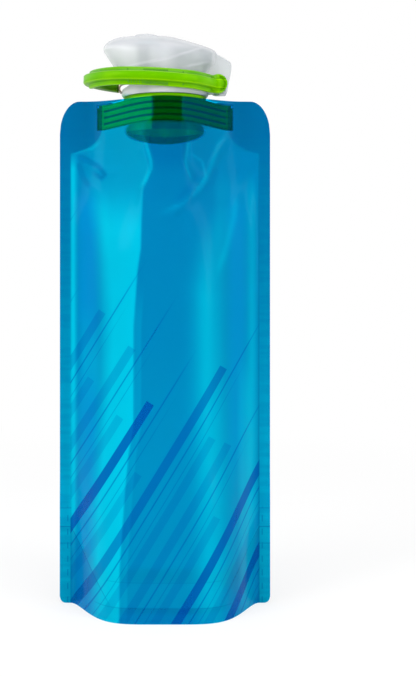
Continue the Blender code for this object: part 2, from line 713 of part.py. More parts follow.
def make_carabiner():
    path = loop_path()
    crown = max(range(len(path)), key=lambda i: path[i].x)
    cut = next(i for i in range(crown, len(path)) if path[i].x < NOSE_END)
    main, sections = path[:cut], []
    for point in main:
        share = ease(2 * point.y / LOOP_HALF + 0.25) if point.y > -0.2 * LOOP_HALF else 0
        flange = mix(FLANGE_HALF, SPINE_HALF + 0.3 * SOFT_EDGE, share)
        sections.append(section(flange, SPINE_HALF, -FLANGE_WIDTH, SPINE_WIDTH))
    frame = sweep_arm("carabiner_frame", main, sections)
    start = next(i for i in range(crown, len(path)) if path[i].x < GATE_PIVOT + STUB_END)
    rest = path[start:]
    stub_sections = []
    for point in rest:
        share = ease((point.x - GATE_PIVOT + STUB_LENGTH) / STUB_TAPER)
        flange = mix(FLANGE_HALF, STUB_HALF, share)
        flange = mix(FAR_EYE_RADIUS - 0.3 * SOFT_EDGE, flange, ease(point.x / (2 * FLANGE_HALF) - 0.3))
        stub_sections.append(section(flange, SPINE_HALF, -FLANGE_WIDTH, SPINE_WIDTH))
    stub = sweep_arm("stub", rest, stub_sections)
    outer = EYE_IN + FLANGE_WIDTH + SPINE_WIDTH + SOFT_EDGE / 2
    pin = lathe("pin", [(0, -outer), (EYE_RADIUS, -outer), (EYE_RADIUS, -EYE_IN), (BAR_RADIUS, -EYE_IN),
                        (BAR_RADIUS, EYE_IN), (FAR_EYE_RADIUS, EYE_IN), (FAR_EYE_RADIUS, outer), (0, outer)])
    for vertex in pin.data.vertices:
        x, y, z = vertex.co
        vertex.co = (HINGE_X + x, z, HINGE_Z - y)
    combine(frame, "UNION", pin, stub)
    curve = hinge_arc(EYE_GROOVE_OUT, -78, 80, 14) + hinge_arc(EYE_GROOVE_IN, 80, -78, 14)
    groove = loft("groove", [[(x, y, z) for x, z in curve] for y in (-outer - EYE_GROOVE, -outer + EYE_GROOVE)])

    pivot, tip = gate_line()
    holes = []
    for side in (-1, 1):
        low = placed(pivot.x, pivot.y, side * (STUB_HALF + WIRE_RADIUS))
        high = placed(pivot.x, pivot.y, side * (STUB_HALF - PIN_DEPTH - GAP))
        holes.append(rod("hole", [low, high], WIRE_RADIUS + GAP, 12))
    notch_start = NOSE_END - NOTCH_LENGTH
    notch_end = NOSE_END + HOOD_LENGTH
    notch = []
    wall = tip.y + WIRE_RADIUS + GAP
    for height in (-2 * SPINE_HALF, 2 * SPINE_HALF):
        notch.append([placed(reach, side, height) for reach, side in
                      ((notch_start, tip.y - NOTCH_DEPTH), (notch_end, tip.y - NOTCH_DEPTH),
                       (notch_end, wall - SOFT_EDGE), (notch_end - HOOD_LENGTH / 3, wall),
                       (notch_start, wall + 0.35 * NOTCH_LENGTH))])
    return combine(frame, "DIFFERENCE", groove, *holes, loft("notch", notch))


def rod(name, path, radius, sides):
    """A round rod along a path of points, its ends closed."""
    curve = bpy.data.curves.new(name, "CURVE")
    curve.dimensions = "3D"
    curve.bevel_depth = radius
    curve.bevel_resolution = sides // 2 - 2
    curve.use_fill_caps = True
    line = curve.splines.new("POLY")
    line.points.add(len(path) - 1)
    for point, at in zip(line.points, path):
        point.co = (*at, 1)
    guide = add_object(name, curve)
    graph = bpy.context.evaluated_depsgraph_get()
    mesh = bpy.data.meshes.new_from_object(guide.evaluated_get(graph))
    bpy.data.objects.remove(guide)
    work = bmesh.new()
    work.from_mesh(mesh)
    bmesh.ops.remove_doubles(work, verts=work.verts, dist=1e-6)
    bmesh.ops.recalc_face_normals(work, faces=work.faces)
    work.to_mesh(mesh)
    work.free()
    return add_object(name, mesh)


def make_gate():
    pivot, tip = gate_line()
    length = (tip - pivot).length
    along = (tip - pivot).normalized()
    half = GATE_LEG_HALF
    bend = WIRE_BEND
    leg = [(0, STUB_HALF - PIN_DEPTH), (0, half - bend), (0.3 * bend, half - 0.3 * bend), (bend, half),
           (0.42 * length, half - 0.2 * WIRE_RADIUS), (length - 2.2 * WIRE_TIP_HALF, WIRE_TIP_HALF + WIRE_RADIUS)]
    for angle in (80, 58, 36, 12):
        turn = math.radians(angle)
        leg.append((length - WIRE_TIP_HALF + WIRE_TIP_HALF * math.cos(turn), WIRE_TIP_HALF * math.sin(turn)))
    points = leg + [(reach, -height) for reach, height in reversed(leg)]
    path = []
    for reach, height in points:
        at = pivot + along * reach
        path.append(placed(at.x, at.y, height))
    return rod("gate_wire", path, WIRE_RADIUS, 8)


def main():
    for old in list(bpy.data.objects):
        bpy.data.objects.remove(old)
    film = material("blue_film", FILM_BLUE, 0.15, alpha=0.55)
    lime = material("lime_plastic", LIME, 0.3)
    frosted = material("frosted_plastic", FROSTED, 0.35, alpha=0.8)
    seal = material("soft_seal", (0.20, 0.01, 0.02), 0.6)
    clear_seal = material("clear_seal", (0.70, 0.75, 0.76), 0.5)
    steel = material("steel_wire", (0.50, 0.46, 0.42), 0.3, metallic=1.0)
    finish(make_wall("front_film", -1), film)
    finish(make_wall("back_film", 1), film)
    finish(make_gusset(), film)
    finish(make_spout(), lime)
    finish(make_gasket(), seal)
    finish(make_cap(), frosted)
    finish(make_lid(), frosted)
    finish(make_plug(), clear_seal)
    finish(make_carabiner(), lime)
    finish(make_gate(), steel)


main()
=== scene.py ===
"""The dressed model of a collapsible water bottle: a blue film pouch on a flat gusset, a lime spout,
a frosted screw cap with a flip lid, and a lime carabiner with a wire gate. Metres, +Z up, -Y the front."""

import math

import bmesh
import bpy
import numpy as np
from bpy.props import FloatProperty, FloatVectorProperty, IntProperty, PointerProperty
from bpy.types import Operator, Panel, PropertyGroup
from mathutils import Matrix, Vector


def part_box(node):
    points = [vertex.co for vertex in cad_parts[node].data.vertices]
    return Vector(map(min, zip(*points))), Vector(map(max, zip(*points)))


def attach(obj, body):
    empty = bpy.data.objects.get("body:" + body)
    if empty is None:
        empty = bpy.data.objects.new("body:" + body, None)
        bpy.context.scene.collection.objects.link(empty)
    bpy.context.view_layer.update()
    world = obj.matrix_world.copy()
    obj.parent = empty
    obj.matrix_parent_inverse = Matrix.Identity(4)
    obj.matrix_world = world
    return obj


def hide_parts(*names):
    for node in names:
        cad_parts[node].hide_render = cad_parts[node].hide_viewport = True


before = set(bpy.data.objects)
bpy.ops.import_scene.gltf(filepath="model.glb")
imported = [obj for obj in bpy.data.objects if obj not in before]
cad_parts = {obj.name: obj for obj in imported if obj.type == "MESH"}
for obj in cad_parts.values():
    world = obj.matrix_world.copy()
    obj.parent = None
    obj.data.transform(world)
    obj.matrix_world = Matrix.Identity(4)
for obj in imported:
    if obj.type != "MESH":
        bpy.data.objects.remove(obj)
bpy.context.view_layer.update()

bl_info = {
    "name": "Collapsible Water Bottle",
    "version": (1, 0, 0),
    "blender": (4, 5, 0),
    "location": "View3D > Sidebar > Bottle",
    "description": "Builds a film pouch bottle with a flip lid and a carabiner",
    "category": "Add Mesh",
}

MM = 0.001
FILM_LOW, FILM_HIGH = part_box("front_film")
SPOUT_LOW, SPOUT_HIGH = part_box("spout_fitment")
CAP_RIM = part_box("cap_base")[0].z

# The photograph's frame, in pixels
PHOTO_WIDTH = 416
PHOTO_HEIGHT = 677
PHOTO_FOCAL = 1124.7
PHOTO_CENTRE = (165.0, 254.7)


# Plain maths on numbers and arrays

def clamp(value, low=0.0, high=1.0):
    return np.clip(value, low, high)


def mix(a, b, share):
    return a + (b - a) * share


def ease(value):
    t = clamp(value)
    return t * t * (3 - 2 * t)


def rise(value, low, high):
    """0 below low, 1 above high, smooth between. With low over high it falls instead."""
    return ease((value - low) / (high - low))


def band(value, low, high, soft):
    """1 between low and high, with soft edges of that width."""
    return rise(value, low - soft / 2, low + soft / 2) * (1 - rise(value, high - soft / 2, high + soft / 2))


def bell(value, centre, width):
    """1 at the centre, fading softly to both sides."""
    return np.exp(-((value - centre) / width) ** 2)


def distance_to_line(x, z, points):
    """Distance from each place to a bent line of (x, z) points, and how far along it the nearest point lies,
    from 0 to 1."""
    best = np.full(np.shape(x), np.inf)
    along = np.zeros(np.shape(x))
    total = sum(math.dist(a, b) for a, b in zip(points, points[1:]))
    passed = 0.0
    for (ax, az), (bx, bz) in zip(points, points[1:]):
        span = math.dist((ax, az), (bx, bz))
        part = clamp(((x - ax) * (bx - ax) + (z - az) * (bz - az)) / span ** 2)
        gap = np.hypot(x - mix(ax, bx, part), z - mix(az, bz, part))
        nearer = gap < best
        best = np.where(nearer, gap, best)
        along = np.where(nearer, (passed + part * span) / total, along)
        passed += span
    return best, along


def fold(x, z, points, width):
    """A soft ridge along a bent line, which fades out towards both of its ends."""
    gap, along = distance_to_line(x, z, points)
    return bell(gap, 0, width) * rise(along, 0, 0.15) * (1 - rise(along, 0.75, 1))


def all_folds(x, z, folds):
    """The ridges of all folds together, each times its height, at places in millimetres."""
    return sum(height * fold(x, z, points, width) for points, width, height in folds)


# Settings that a user would change

def length(name, text, default):
    return FloatProperty(name=name, description=text, default=default, min=0, unit="LENGTH", precision=5)


def colour(name, part, default):
    return FloatVectorProperty(name=name, description="Colour of " + part, default=default, size=3, min=0,
                               max=1, subtype="COLOR")


def fraction(name, text, default):
    return FloatProperty(name=name, description=text, default=default, min=0, max=1, subtype="FACTOR")


class PouchSettings(PropertyGroup):
    """Sizes and colours of the film pouch."""
    film: length("Film", "Thickness of the film", 0.4 * MM)
    side_seal: length("Side seal", "Width of the welded sides", 6.5 * MM)
    bottom_seal: length("Bottom seal", "Height of the weld along the base", 9.0 * MM)
    base_depth: length("Base depth", "From the middle to the front at the base", 40.0 * MM)
    body_depth: length("Body depth", "From the middle to the front at half height", 29.0 * MM)
    clear_blue: colour("Film", "the film", (0.0, 0.290, 0.530))
    light_blue: colour("Light film", "the film where light gathers", (0.0, 0.640, 0.800))
    # Painted shade of the film, and the colour of its weld lines and pressed marks
    shade_and_weld_blue: colour("Deep film", "the folds", (0.0, 0.150, 0.400))
    violet_blue: colour("Blue film", "the soft shade beside a bright column", (0.0, 0.330, 0.720))
    seal_blue: colour("Seal", "the welded film at the top", (0.0, 0.175, 0.395))
    low_seal: colour("Low seal", "the welded film near the base", (0.0, 0.500, 0.700))
    neck_green: colour("Neck", "the film over the shaded middle of the spout", (0.0, 0.100, 0.020))
    print_blue: colour("Stripes", "the printed stripes", (0.0, 0.070, 0.430))
    tint: colour("Tint", "the light that one face of the film passes", (0.0, 0.72, 0.93))
    body_cover: fraction("Body cover", "How much one face of the film hides on the body", 0.44)
    bright_cover: fraction("Bright cover", "How much more one face hides where it is bright", 0.16)
    weld_cover: fraction("Weld cover", "How much one face hides where it is welded to the spout", 0.06)
    stripe_pitch: length("Stripe pitch", "Distance from one broad stripe to the next", 26.0 * MM)
    stripe_slope: FloatProperty(name="Stripe slope", description="Lean of the stripes",
                                default=math.radians(58), unit="ROTATION")


class FittingSettings(PropertyGroup):
    """Colours of the moulded pieces."""
    lime: colour("Lime", "the spout and the carabiner", (0.110, 0.420, 0.0))
    # Lighter lime of the mottle, and of the painted highlights on the carabiner's edges
    lime_mottle_and_highlight: colour("Light lime", "the carabiner's edges", (0.270, 0.640, 0.0))
    lime_lit: colour("Lit lime", "the spout's lit left flank", (0.2, 0.95, 0.02))
    lime_deep: colour("Deep lime", "the lime plastic in shade", (0.004, 0.110, 0.002))
    engraved: colour("Engraved lime", "the grip ticks on the carabiner", (0.090, 0.360, 0.0))
    # Painted shade in the spout's grooves, seen through the film
    groove: colour("Groove", "the grooves between the spout's ribs", (0.0, 0.040, 0.060))
    groove_deep: colour("Deep groove", "the grooves in the shaded middle", (0.0, 0.026, 0.004))
    frosted: colour("Frosted", "the cap and the lid", (0.79, 0.80, 0.82))
    # Painted light and painted shade of the lid and the cap
    frosted_lit: colour("Lit frosted", "the lid and the cap towards the left", (0.97, 0.98, 1.0))
    frosted_deep: colour("Deep frosted", "the lid and the cap in shade", (0.46, 0.51, 0.52))
    frosted_tint: colour("Frosted tint", "the light that one frosted face passes", (0.95, 0.955, 0.965))
    gasket: colour("Gasket", "the sealing ring", (0.110, 0.006, 0.010))
    plug: colour("Plug", "the plug inside the lid", (0.36, 0.56, 0.58))
    steel: colour("Steel", "the gate wire", (0.50, 0.45, 0.40))
    lid_wall: length("Lid wall", "Thickness of the lid's shell", 1.6 * MM)
    ridge: length("Lid ridge", "Height of the soft ridges on the lid's sides", 0.8 * MM)
    bump: length("Finger bump", "Height of the oval bump on the lid", 1.8 * MM)
    tick_count: IntProperty(name="Ticks", description="Grip ticks along the carabiner", default=19, min=3)


class StageSettings(PropertyGroup):
    """Floor, lamps and camera."""
    floor: colour("Floor", "the floor", (0.86, 0.86, 0.86))
    room: fraction("Room light", "Strength of the light from all around", 0.50)
    camera_distance: length("Camera distance", "From the camera to the middle of the bottle", 0.68)
    camera_height: length("Camera height", "Height of the camera over the floor", 0.21)


def settings(name):
    return getattr(bpy.context.scene, "bottle_" + name)


# Shader maths

def math_node(operation, swapped=False):
    """A method of Socket that adds one Math node."""
    def method(self, other=0.0):
        first, second = (other, self) if swapped else (self, other)
        return self.board.add("ShaderNodeMath", {0: first, 1: second}, operation=operation)
    return method


class Socket:
    """A shader output that Python's operators extend with Math nodes."""

    def __init__(self, board, output):
        self.board = board
        self.output = output

    __add__ = __radd__ = math_node("ADD")
    __sub__ = math_node("SUBTRACT")
    __rsub__ = math_node("SUBTRACT", swapped=True)
    __mul__ = __rmul__ = math_node("MULTIPLY")
    __truediv__ = math_node("DIVIDE")
    __abs__ = math_node("ABSOLUTE")
    floor = math_node("FLOOR")
    sine = math_node("SINE")
    larger = math_node("MAXIMUM")

    def rise(self, low, high, out_low=0.0, out_high=1.0):
        """out_low up to low, out_high past high, smooth between."""
        return self.board.add("ShaderNodeMapRange", {0: self, 1: low, 2: high, 3: out_low, 4: out_high},
                              interpolation_type="SMOOTHSTEP")

    def ramp(self, low=0.0, high=1.0):
        """0 up to low and 1 past high, in a straight line between. With low over high it falls instead."""
        return self.board.add("ShaderNodeMapRange", {0: self, 1: low, 2: high})

    def band(self, low, high, soft):
        return self.rise(low - soft / 2, low + soft / 2) * (1 - self.rise(high - soft / 2, high + soft / 2))


def rgba(tone):
    """Three numbers as a colour with its alpha. A socket stays as it is."""
    return tone if isinstance(tone, Socket) else (*tone, 1)


class Board:
    """The nodes of a material or a world. Every node that Blender doesn't put there comes from add()."""

    def __init__(self, owner):
        owner.use_nodes = True
        self.tree = owner.node_tree

    def join(self, value, target):
        if isinstance(value, Socket):
            self.tree.links.new(value.output, target)
        else:
            target.default_value = value

    def add(self, kind, values=None, out=0, **choices):
        node = self.tree.nodes.new(kind)
        for name, value in choices.items():
            setattr(node, name, value)
        for key, value in (values or {}).items():
            self.join(value, node.inputs[key])
        return Socket(self, node.outputs[out])

    def surface(self, share, first, second, output="Material Output"):
        """Shows the first shader where share is 0 and the second where it is 1."""
        both = self.add("ShaderNodeMixShader", {0: share, 1: first, 2: second})
        self.join(both, self.tree.nodes[output].inputs["Surface"])


class Finish(Board):
    """One material. Its place is a point in the object's own coordinates."""

    def __init__(self, name, **values):
        self.material = bpy.data.materials.new(name)
        super().__init__(self.material)
        self.shader = self.tree.nodes["Principled BSDF"]
        self.place = self.add("ShaderNodeTexCoord", out="Object")
        self.set(**values)

    def set(self, **values):
        """Sets the shader's sockets, given by their names in lower case."""
        for name, value in values.items():
            self.join(value, self.shader.inputs[name.replace("_", " ").title().replace("Ior", "IOR")])

    def solid(self):
        return Socket(self, self.shader.outputs[0])

    def split(self, vector):
        """The x, y and z of a vector."""
        node = self.add("ShaderNodeSeparateXYZ", {0: vector}).output.node
        return [Socket(self, output) for output in node.outputs]

    def facing_up(self):
        """1 on an upper face, 0 on an upright one and -1 on one that faces down."""
        return self.split(self.add("ShaderNodeNewGeometry", out="Normal"))[2]

    def attribute(self, name):
        return self.add("ShaderNodeAttribute", out="Fac", attribute_name=name)

    def coats(self, film, *coats):
        """A colour under coats of (share, colour). A coat hides what lies under it where its share is 1."""
        for share, tone in coats:
            ends = {6: rgba(film), 7: rgba(tone)}
            film = self.add("ShaderNodeMix", {0: share, **ends}, out=2, data_type="RGBA")
        return film

    def noise(self, scale, detail=2.0, roughness=0.5, stretch=None):
        place = self.add("ShaderNodeMapping", {0: self.place, 3: stretch}) if stretch else self.place
        return self.add("ShaderNodeTexNoise", {"Vector": place, "Scale": scale, "Detail": detail,
                                               "Roughness": roughness})

    def bump(self, height, depth, normal=None):
        values = {"Height": height, "Strength": 1.0, "Distance": depth}
        if normal:
            values["Normal"] = normal
        return self.add("ShaderNodeBump", values)

    def see_through(self, cover, tint):
        """Lets tinted light pass where cover is below 1."""
        clear = self.add("ShaderNodeBsdfTransparent", {"Color": rgba(tint)})
        self.surface(cover, clear, self.solid())


# Shape of the pouch

WELD_TOP = FILM_HIGH.z - 2.0 * MM
WELD_BOTTOM = WELD_TOP - 15.0 * MM
BODY_RADIUS = (SPOUT_HIGH.y - SPOUT_LOW.y) / 2
SPOUT_TIP = (SPOUT_HIGH.x - SPOUT_LOW.x) / 2
HALF_WIDTH = (FILM_HIGH.x - FILM_LOW.x) / 2
POUCH_TOP = FILM_HIGH.z
CLEARANCE = 0.3 * MM
WELD_GAP = 0.6 * MM
FLANK_TURN = math.radians(50)
FLANK_PAST = 7.4 * MM
BASE_FADE = 140.0 * MM
BASE_CURVE = (5.0, 2.0)
BODY_CURVE = (2.5, 1.5)
NECK_FADE = (75.0 * MM, 7.0 * MM)
SEAM_FADE = (34.0 * MM, 12.0 * MM)
GUSSET_RISE = 46.0 * MM
FLOOR_HALF = 28.0 * MM
FLOOR_EASE = 7.0 * MM
SEAL_CURVE = 1.45
SHOULDER_DROP = 31.3 * MM
SHOULDER_SEAL = 3.0 * MM
CORNER = (12.0 * MM, 20.0 * MM)
FOOT_CORNER = (4.0 * MM, 4.0 * MM)
RIB_COUNT = 4
RIB_PITCH = 3.75 * MM
RIB_RISE = 3.4 * MM
RIB_DROP = 0.6 * MM
RIB_REACH = 36.6 * MM
RIB_SPAN = (0.2, 0.8)
GROOVE_DEPTH = 0.6 * MM
FIN_START = 37.7 * MM
NECK_SIDE = 25.5 * MM
RIM_LIFT = 4.7 * MM
ARCH_FADE = 3.5 * MM
SKIRT_HALVES = (23.4 * MM, 8.8 * MM)
SKIRT_DROP = 2.5 * MM
SKIRT_SHADE = 0.84
FOLD_MARGIN = 9.0 * MM
FOLD_FADE = (30.0 * MM, 62.0 * MM)


def open_side():
    """Half the width between the side seals."""
    return HALF_WIDTH - settings("pouch").side_seal


def weld_depth(x):
    """The films' inner face where they are welded round the spout: a round middle with hollow flanks."""
    x = np.abs(x)
    radius = BODY_RADIUS + CLEARANCE
    join = radius * math.cos(FLANK_TURN)
    run = SPOUT_TIP + FLANK_PAST - join
    t = clamp((x - join) / run)
    start = radius * math.sin(FLANK_TURN)
    slope = -run / math.tan(FLANK_TURN)
    flank = (2 * t ** 3 - 3 * t ** 2 + 1) * start + (t ** 3 - 2 * t ** 2 + t) * slope
    return np.where(x <= join, np.sqrt(np.maximum(radius ** 2 - x ** 2, 0)), np.maximum(flank, 0))


def seal_line(x):
    """Height of the line where the gusset leaves a wall."""
    low = settings("pouch").bottom_seal
    start = FLOOR_HALF + FLOOR_EASE
    return low + (GUSSET_RISE - low) * clamp((np.abs(x) - start) / (open_side() - start)) ** SEAL_CURVE


def open_half(z):
    """Half the width of the space between the films at height z."""
    low = POUCH_TOP - SHOULDER_DROP
    part = clamp((z - low) / (WELD_BOTTOM - low))
    return mix(open_side(), SPOUT_TIP - SHOULDER_SEAL, (1 - (1 - part) ** 2) ** (2 / 3))


def film_depth(x, z):
    """The film's inner face, as a distance from the centre plane."""
    pouch = settings("pouch")
    reach = clamp(np.abs(x) / open_half(z))
    base = pouch.base_depth * (1 - reach ** BASE_CURVE[0]) ** BASE_CURVE[1]
    body = pouch.body_depth * (1 - reach ** BODY_CURVE[0]) ** BODY_CURVE[1]
    depth = mix(base, body, ease(z / BASE_FADE))
    depth = mix(depth, weld_depth(x), rise(z, WELD_BOTTOM - NECK_FADE[0], WELD_BOTTOM - NECK_FADE[1]))
    seam = seal_line(x)
    room = (pouch.film + WELD_GAP) * rise(z, seam + SEAM_FADE[0], seam + SEAM_FADE[1])
    return depth + CLEARANCE / 2 + room


def corner_drop(x, size):
    """How far a round corner of that width and height draws in the film's edge at x."""
    past = clamp((np.abs(x) - HALF_WIDTH + size[0]) / size[0])
    return size[1] * (1 - np.sqrt(1 - past ** 2))


def rib_arch(x):
    """How far the spout's ribs rise over the plain solid towards the middle."""
    return RIB_RISE * (1 - clamp(np.abs(x) / RIB_REACH) ** 2) - RIB_DROP


def arched(x, z):
    """Height of a point of the spout once its ribs arch, and its skirt's rim lifts towards the sides."""
    rim = RIM_LIFT * clamp(np.abs(x) / BODY_RADIUS) ** 2
    up = clamp((z - SPOUT_LOW.z) / (WELD_BOTTOM - SPOUT_LOW.z))
    return z + mix(rim, rib_arch(x), up) * (1 - clamp((z - WELD_TOP) / ARCH_FADE))


def sealed(x, z):
    """1 where the two films are welded to each other: the sides, the shoulders that curve in under the
    spout's tips, and the strip over its flanks."""
    out = np.abs(x)
    edge = np.where(z < WELD_BOTTOM, open_half(z), SPOUT_TIP - 1.2 * MM)
    over = rise(z - rib_arch(x), WELD_TOP, WELD_TOP + 0.6 * MM) * rise(out, NECK_SIDE, NECK_SIDE + 1 * MM)
    return np.maximum(rise(out - edge, -0.4 * MM, 0.4 * MM), over)


def cling(x, z, side):
    """1 where the film lies welded on the spout, and lower where the front hangs close to its skirt."""
    out, height = np.abs(x), z - rib_arch(x)
    on_spout = rise(SPOUT_TIP - 0.1 * MM - out, -0.3 * MM, 0.3 * MM)
    on_spout *= rise(height - WELD_BOTTOM, -0.6 * MM, 0)
    on_spout *= np.maximum(rise(WELD_TOP - height, -0.4 * MM, 0), rise(NECK_SIDE - out, -0.5 * MM, 0))
    # On the front film only, the patch over the skirt is painted shade: the film is clearer there, so the
    # shaded spout behind shows through
    skirt = np.hypot(x / SKIRT_HALVES[0], (z - WELD_BOTTOM + SKIRT_DROP) / SKIRT_HALVES[1])
    return np.maximum(on_spout, SKIRT_SHADE * rise(skirt, 1.04, 0.96) * (side < 0))


def sunk(x, z):
    """How far the welded film sinks into the grooves between the spout's ribs."""
    z = z - rib_arch(x)
    step = (z - WELD_BOTTOM) / RIB_PITCH
    groove = 1 - band(step - np.floor(step), *RIB_SPAN, 0.2)
    welded = band(z, WELD_BOTTOM, WELD_TOP, 0.6 * MM) * rise(SPOUT_TIP - np.abs(x), 2 * MM, 5 * MM)
    return GROOVE_DEPTH * groove * welded


# The film's folds, as bent lines of (x, z) in millimetres, each with its width and height
FRONT_FOLDS = (
    (((-57, 270), (-46, 264), (-34, 259), (-24, 262)), 2.6, 1.1),
    (((-57, 269), (-47, 257), (-39, 245), (-34, 228)), 3.6, 0.6),
    (((-57, 270), (-50, 271), (-43, 268)), 1.6, 0.8),
    (((-10, 282), (-13, 272), (-9, 262), (-13, 250), (-15, 232)), 2.4, 0.9),
    (((40, 283), (30, 268), (22, 252), (10, 238), (-4, 228)), 2.6, 0.9),
    (((13, 281), (13, 266), (19, 256), (28, 256)), 2.0, -1.0),
    (((57, 270), (50, 262), (44, 248), (40, 226), (38, 200)), 3.4, 0.6),
    (((52, 258), (54, 220), (53, 160), (54, 100)), 2.0, 0.7),
    (((-53, 262), (-55, 220), (-54, 150), (-55, 80)), 1.8, 0.8),
    (((-46, 226), (-47, 180), (-46, 130)), 6.0, -0.9),
    (((26, 214), (27, 170), (24, 120), (20, 80)), 9.0, 0.9),
)
BACK_FOLDS = (
    (((-57, 270), (-44, 262), (-30, 258), (-18, 250)), 3.0, 1.5),
    (((-57, 268), (-48, 250), (-44, 226)), 3.2, 1.2),
    (((40, 283), (33, 262), (24, 240), (16, 214)), 3.0, 1.6),
    (((57, 270), (48, 258), (43, 236), (41, 204)), 3.4, 1.1),
    (((2, 276), (-2, 256), (4, 234)), 3.0, -1.0),
    (((-30, 210), (-32, 160), (-28, 110)), 8.0, 1.0),
    (((36, 190), (34, 140), (37, 90)), 7.0, -0.9),
)


def folded(x, z, folds):
    """How far the folds lift the film."""
    lift = all_folds(x / MM, z / MM, folds) * MM
    free = rise(open_side() - np.abs(x), 0, FOLD_MARGIN) * rise(WELD_BOTTOM - z, 0, FOLD_MARGIN)
    return lift * free * rise(z, *FOLD_FADE)


# Shape of the lid, in millimetres over the cap's rim: its outer surface from the rim up, as the x and height
# of its front and back ends, half its width, and how far it is crowned
LID_LEVELS = (
    (-26.5, 11.5, 24.5, 7.3, 22.6, 0.0),
    (-28.4, 14.1, 25.1, 10.1, 22.8, 0.0),
    (-31.5, 19.3, 26.7, 14.9, 23.2, 0.0),
    (-35.8, 26.1, 30.5, 19.5, 23.4, 0.0),
    (-37.2, 28.7, 31.2, 24.5, 22.8, 0.3),
    (-36.4, 31.3, 30.8, 26.9, 21.0, 0.7),
    (-33.4, 33.8, 29.4, 28.1, 17.6, 1.3),
    (-28.7, 35.7, 25.7, 29.2, 13.4, 1.9),
    (-21.2, 36.4, 19.2, 30.9, 8.4, 2.3),
)
LID_FULLNESS = 2.25
BUMP_X = -11.0
BUMP_HALVES = (9.0, 7.5)

# The soft ridges on its sides: x and height along the upper edge, how high it stands, and how far it fades
RIDGES = (
    ((-25, -6.5, 5.3, 17, 25), (15.7, 18.6, 21.2, 25.3, 29.2), 1.0, 8.0),
    ((6, 11.7, 18.1, 25.1, 31), (14.4, 15.5, 17.4, 19.6, 20.4), 0.75, 6.0),
)

# The hinge, in metres, and the pieces of the lid round it, in millimetres from its axis
HINGE_X = 31.5 * MM
HINGE_Z = CAP_RIM + 6.7 * MM
HEEL = ((5.6, -4.8), (6.2, -1.8), (6.7, 1.4), (8.1, 7.8), (8.3, 10.5), (8.3, 12.0), (7.7, 13.7), (5.6, 15.1),
        (3.5, 16.5), (0.4, 18.0), (-1.1, 19.5), (-3.5, 21.1), (-8.1, 22.2), (-8.9, 8.0))
KNUCKLE_RADIUS = 4.9
KNUCKLE_OUTER = 7.3
KNUCKLE_INNER = 4.5
CHANNEL_REACH = 12.0
PIN_BORE = 2.7
PIN_SLOT = (9.8, 1.8)
BORE_HALF = 16.0

# The carabiner's bar, seen from the front
LOOP_TILT = math.radians(2.7)
SPINE_HALF = 2.5 * MM
FLANGE_HALF = 5.2 * MM


def smooth_rows(rows, steps):
    """Rows of numbers with steps smooth samples between each pair."""
    rows = np.array(rows)
    padded = np.vstack([2 * rows[0] - rows[1], rows, 2 * rows[-1] - rows[-2]])
    made = []
    for a, b, c, d in zip(padded, padded[1:], padded[2:], padded[3:]):
        bend = 2 * a - 5 * b + 4 * c - d
        twist = 3 * b - a - 3 * c + d
        for t in np.arange(steps) / steps:
            made.append(0.5 * (2 * b + (c - a) * t + bend * t * t + twist * t ** 3))
    return np.array(made + [rows[-1]])


def lid_surface(around=160, steps=8, inward=12):
    """The lid's outer surface as a grid of places, level by level from the rim to just short of the middle,
    and the middle."""
    angle = math.tau * (np.arange(around) + 0.5) / around
    c, s = (np.copysign(np.abs(wave) ** (2 / LID_FULLNESS), wave) for wave in (np.cos(angle), np.sin(angle)))
    rings = []
    for front, front_z, back, back_z, half, crown in smooth_rows(LID_LEVELS, steps):
        x = (front + back) / 2 + (back - front) / 2 * c
        part = clamp((x - front) / (back - front))
        z = mix(front_z, back_z, part) + crown * np.sin(math.pi * part ** 1.3)
        rings.append(np.stack([x, half * s, z], -1))
    last = rings[-1]
    middle = last.mean(axis=0) + (0, 0, 0.6)
    for left in 1 - np.arange(1, inward) / inward:
        ring = middle + (last - middle) * left
        ring[:, 2] = middle[2] + (last[:, 2] - middle[2]) * left ** 2
        rings.append(ring)
    return np.array(rings), middle


def outward(grid):
    """The unit direction that points out of a closed ring grid at each place."""
    across = np.roll(grid, -1, axis=1) - np.roll(grid, 1, axis=1)
    up = np.gradient(grid, axis=0)
    normal = np.cross(across, up)
    return normal / np.linalg.norm(normal, axis=2, keepdims=True)


def lid_relief(grid):
    """How far the lid's outer surface stands proud of its plain shape, in millimetres: two soft ridges on
    each side, steep above and fading below, and an oval bump on top with a hollow line round it."""
    fitting = settings("fitting")
    x, y, z = grid[..., 0], grid[..., 1], grid[..., 2]
    side = rise(np.abs(y), 9, 15)
    relief = np.zeros(x.shape)
    for xs, zs, height, fade in RIDGES:
        below = np.interp(x, xs, zs) - z
        ends = rise(x, xs[0], xs[0] + 9) * rise(x, xs[-1], xs[-1] - 6)
        steep = rise(below, -0.5, 0.8) * np.exp(-np.maximum(below, 0) / fade)
        relief += fitting.ridge / MM * height * side * ends * steep
    rho = np.hypot((x - BUMP_X) / BUMP_HALVES[0], y / BUMP_HALVES[1])
    oval = fitting.bump / MM * (1 - rise(rho, 0.80, 1.02)) - 0.25 * bell(rho, 1.10, 0.06)
    return relief + rise(z, 28, 31) * oval


# Finished objects

def link_object(name, data):
    made = bpy.data.objects.new(name, data)
    bpy.context.scene.collection.objects.link(made)
    return made


def own(name, points, faces):
    mesh = bpy.data.meshes.new(name)
    mesh.from_pydata(points, [], faces)
    return link_object(name, mesh)


def tidy(made, crease=35, merge=None):
    """Turns the faces outwards, and shades the surface smooth up to the crease angle, in degrees."""
    work = bmesh.new()
    work.from_mesh(made.data)
    if merge:
        bmesh.ops.remove_doubles(work, verts=work.verts, dist=merge)
    bmesh.ops.recalc_face_normals(work, faces=work.faces)
    work.to_mesh(made.data)
    work.free()
    made.data.shade_smooth()
    made.data.set_sharp_from_angle(angle=math.radians(crease))
    return made


def dress(made, material, body, slot, *nodes):
    """Gives a piece its finish and its body, and hides the nodes that it stands for."""
    made.data.materials.clear()
    made.data.materials.append(material)
    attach(made, body)
    if nodes:
        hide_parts(*nodes)


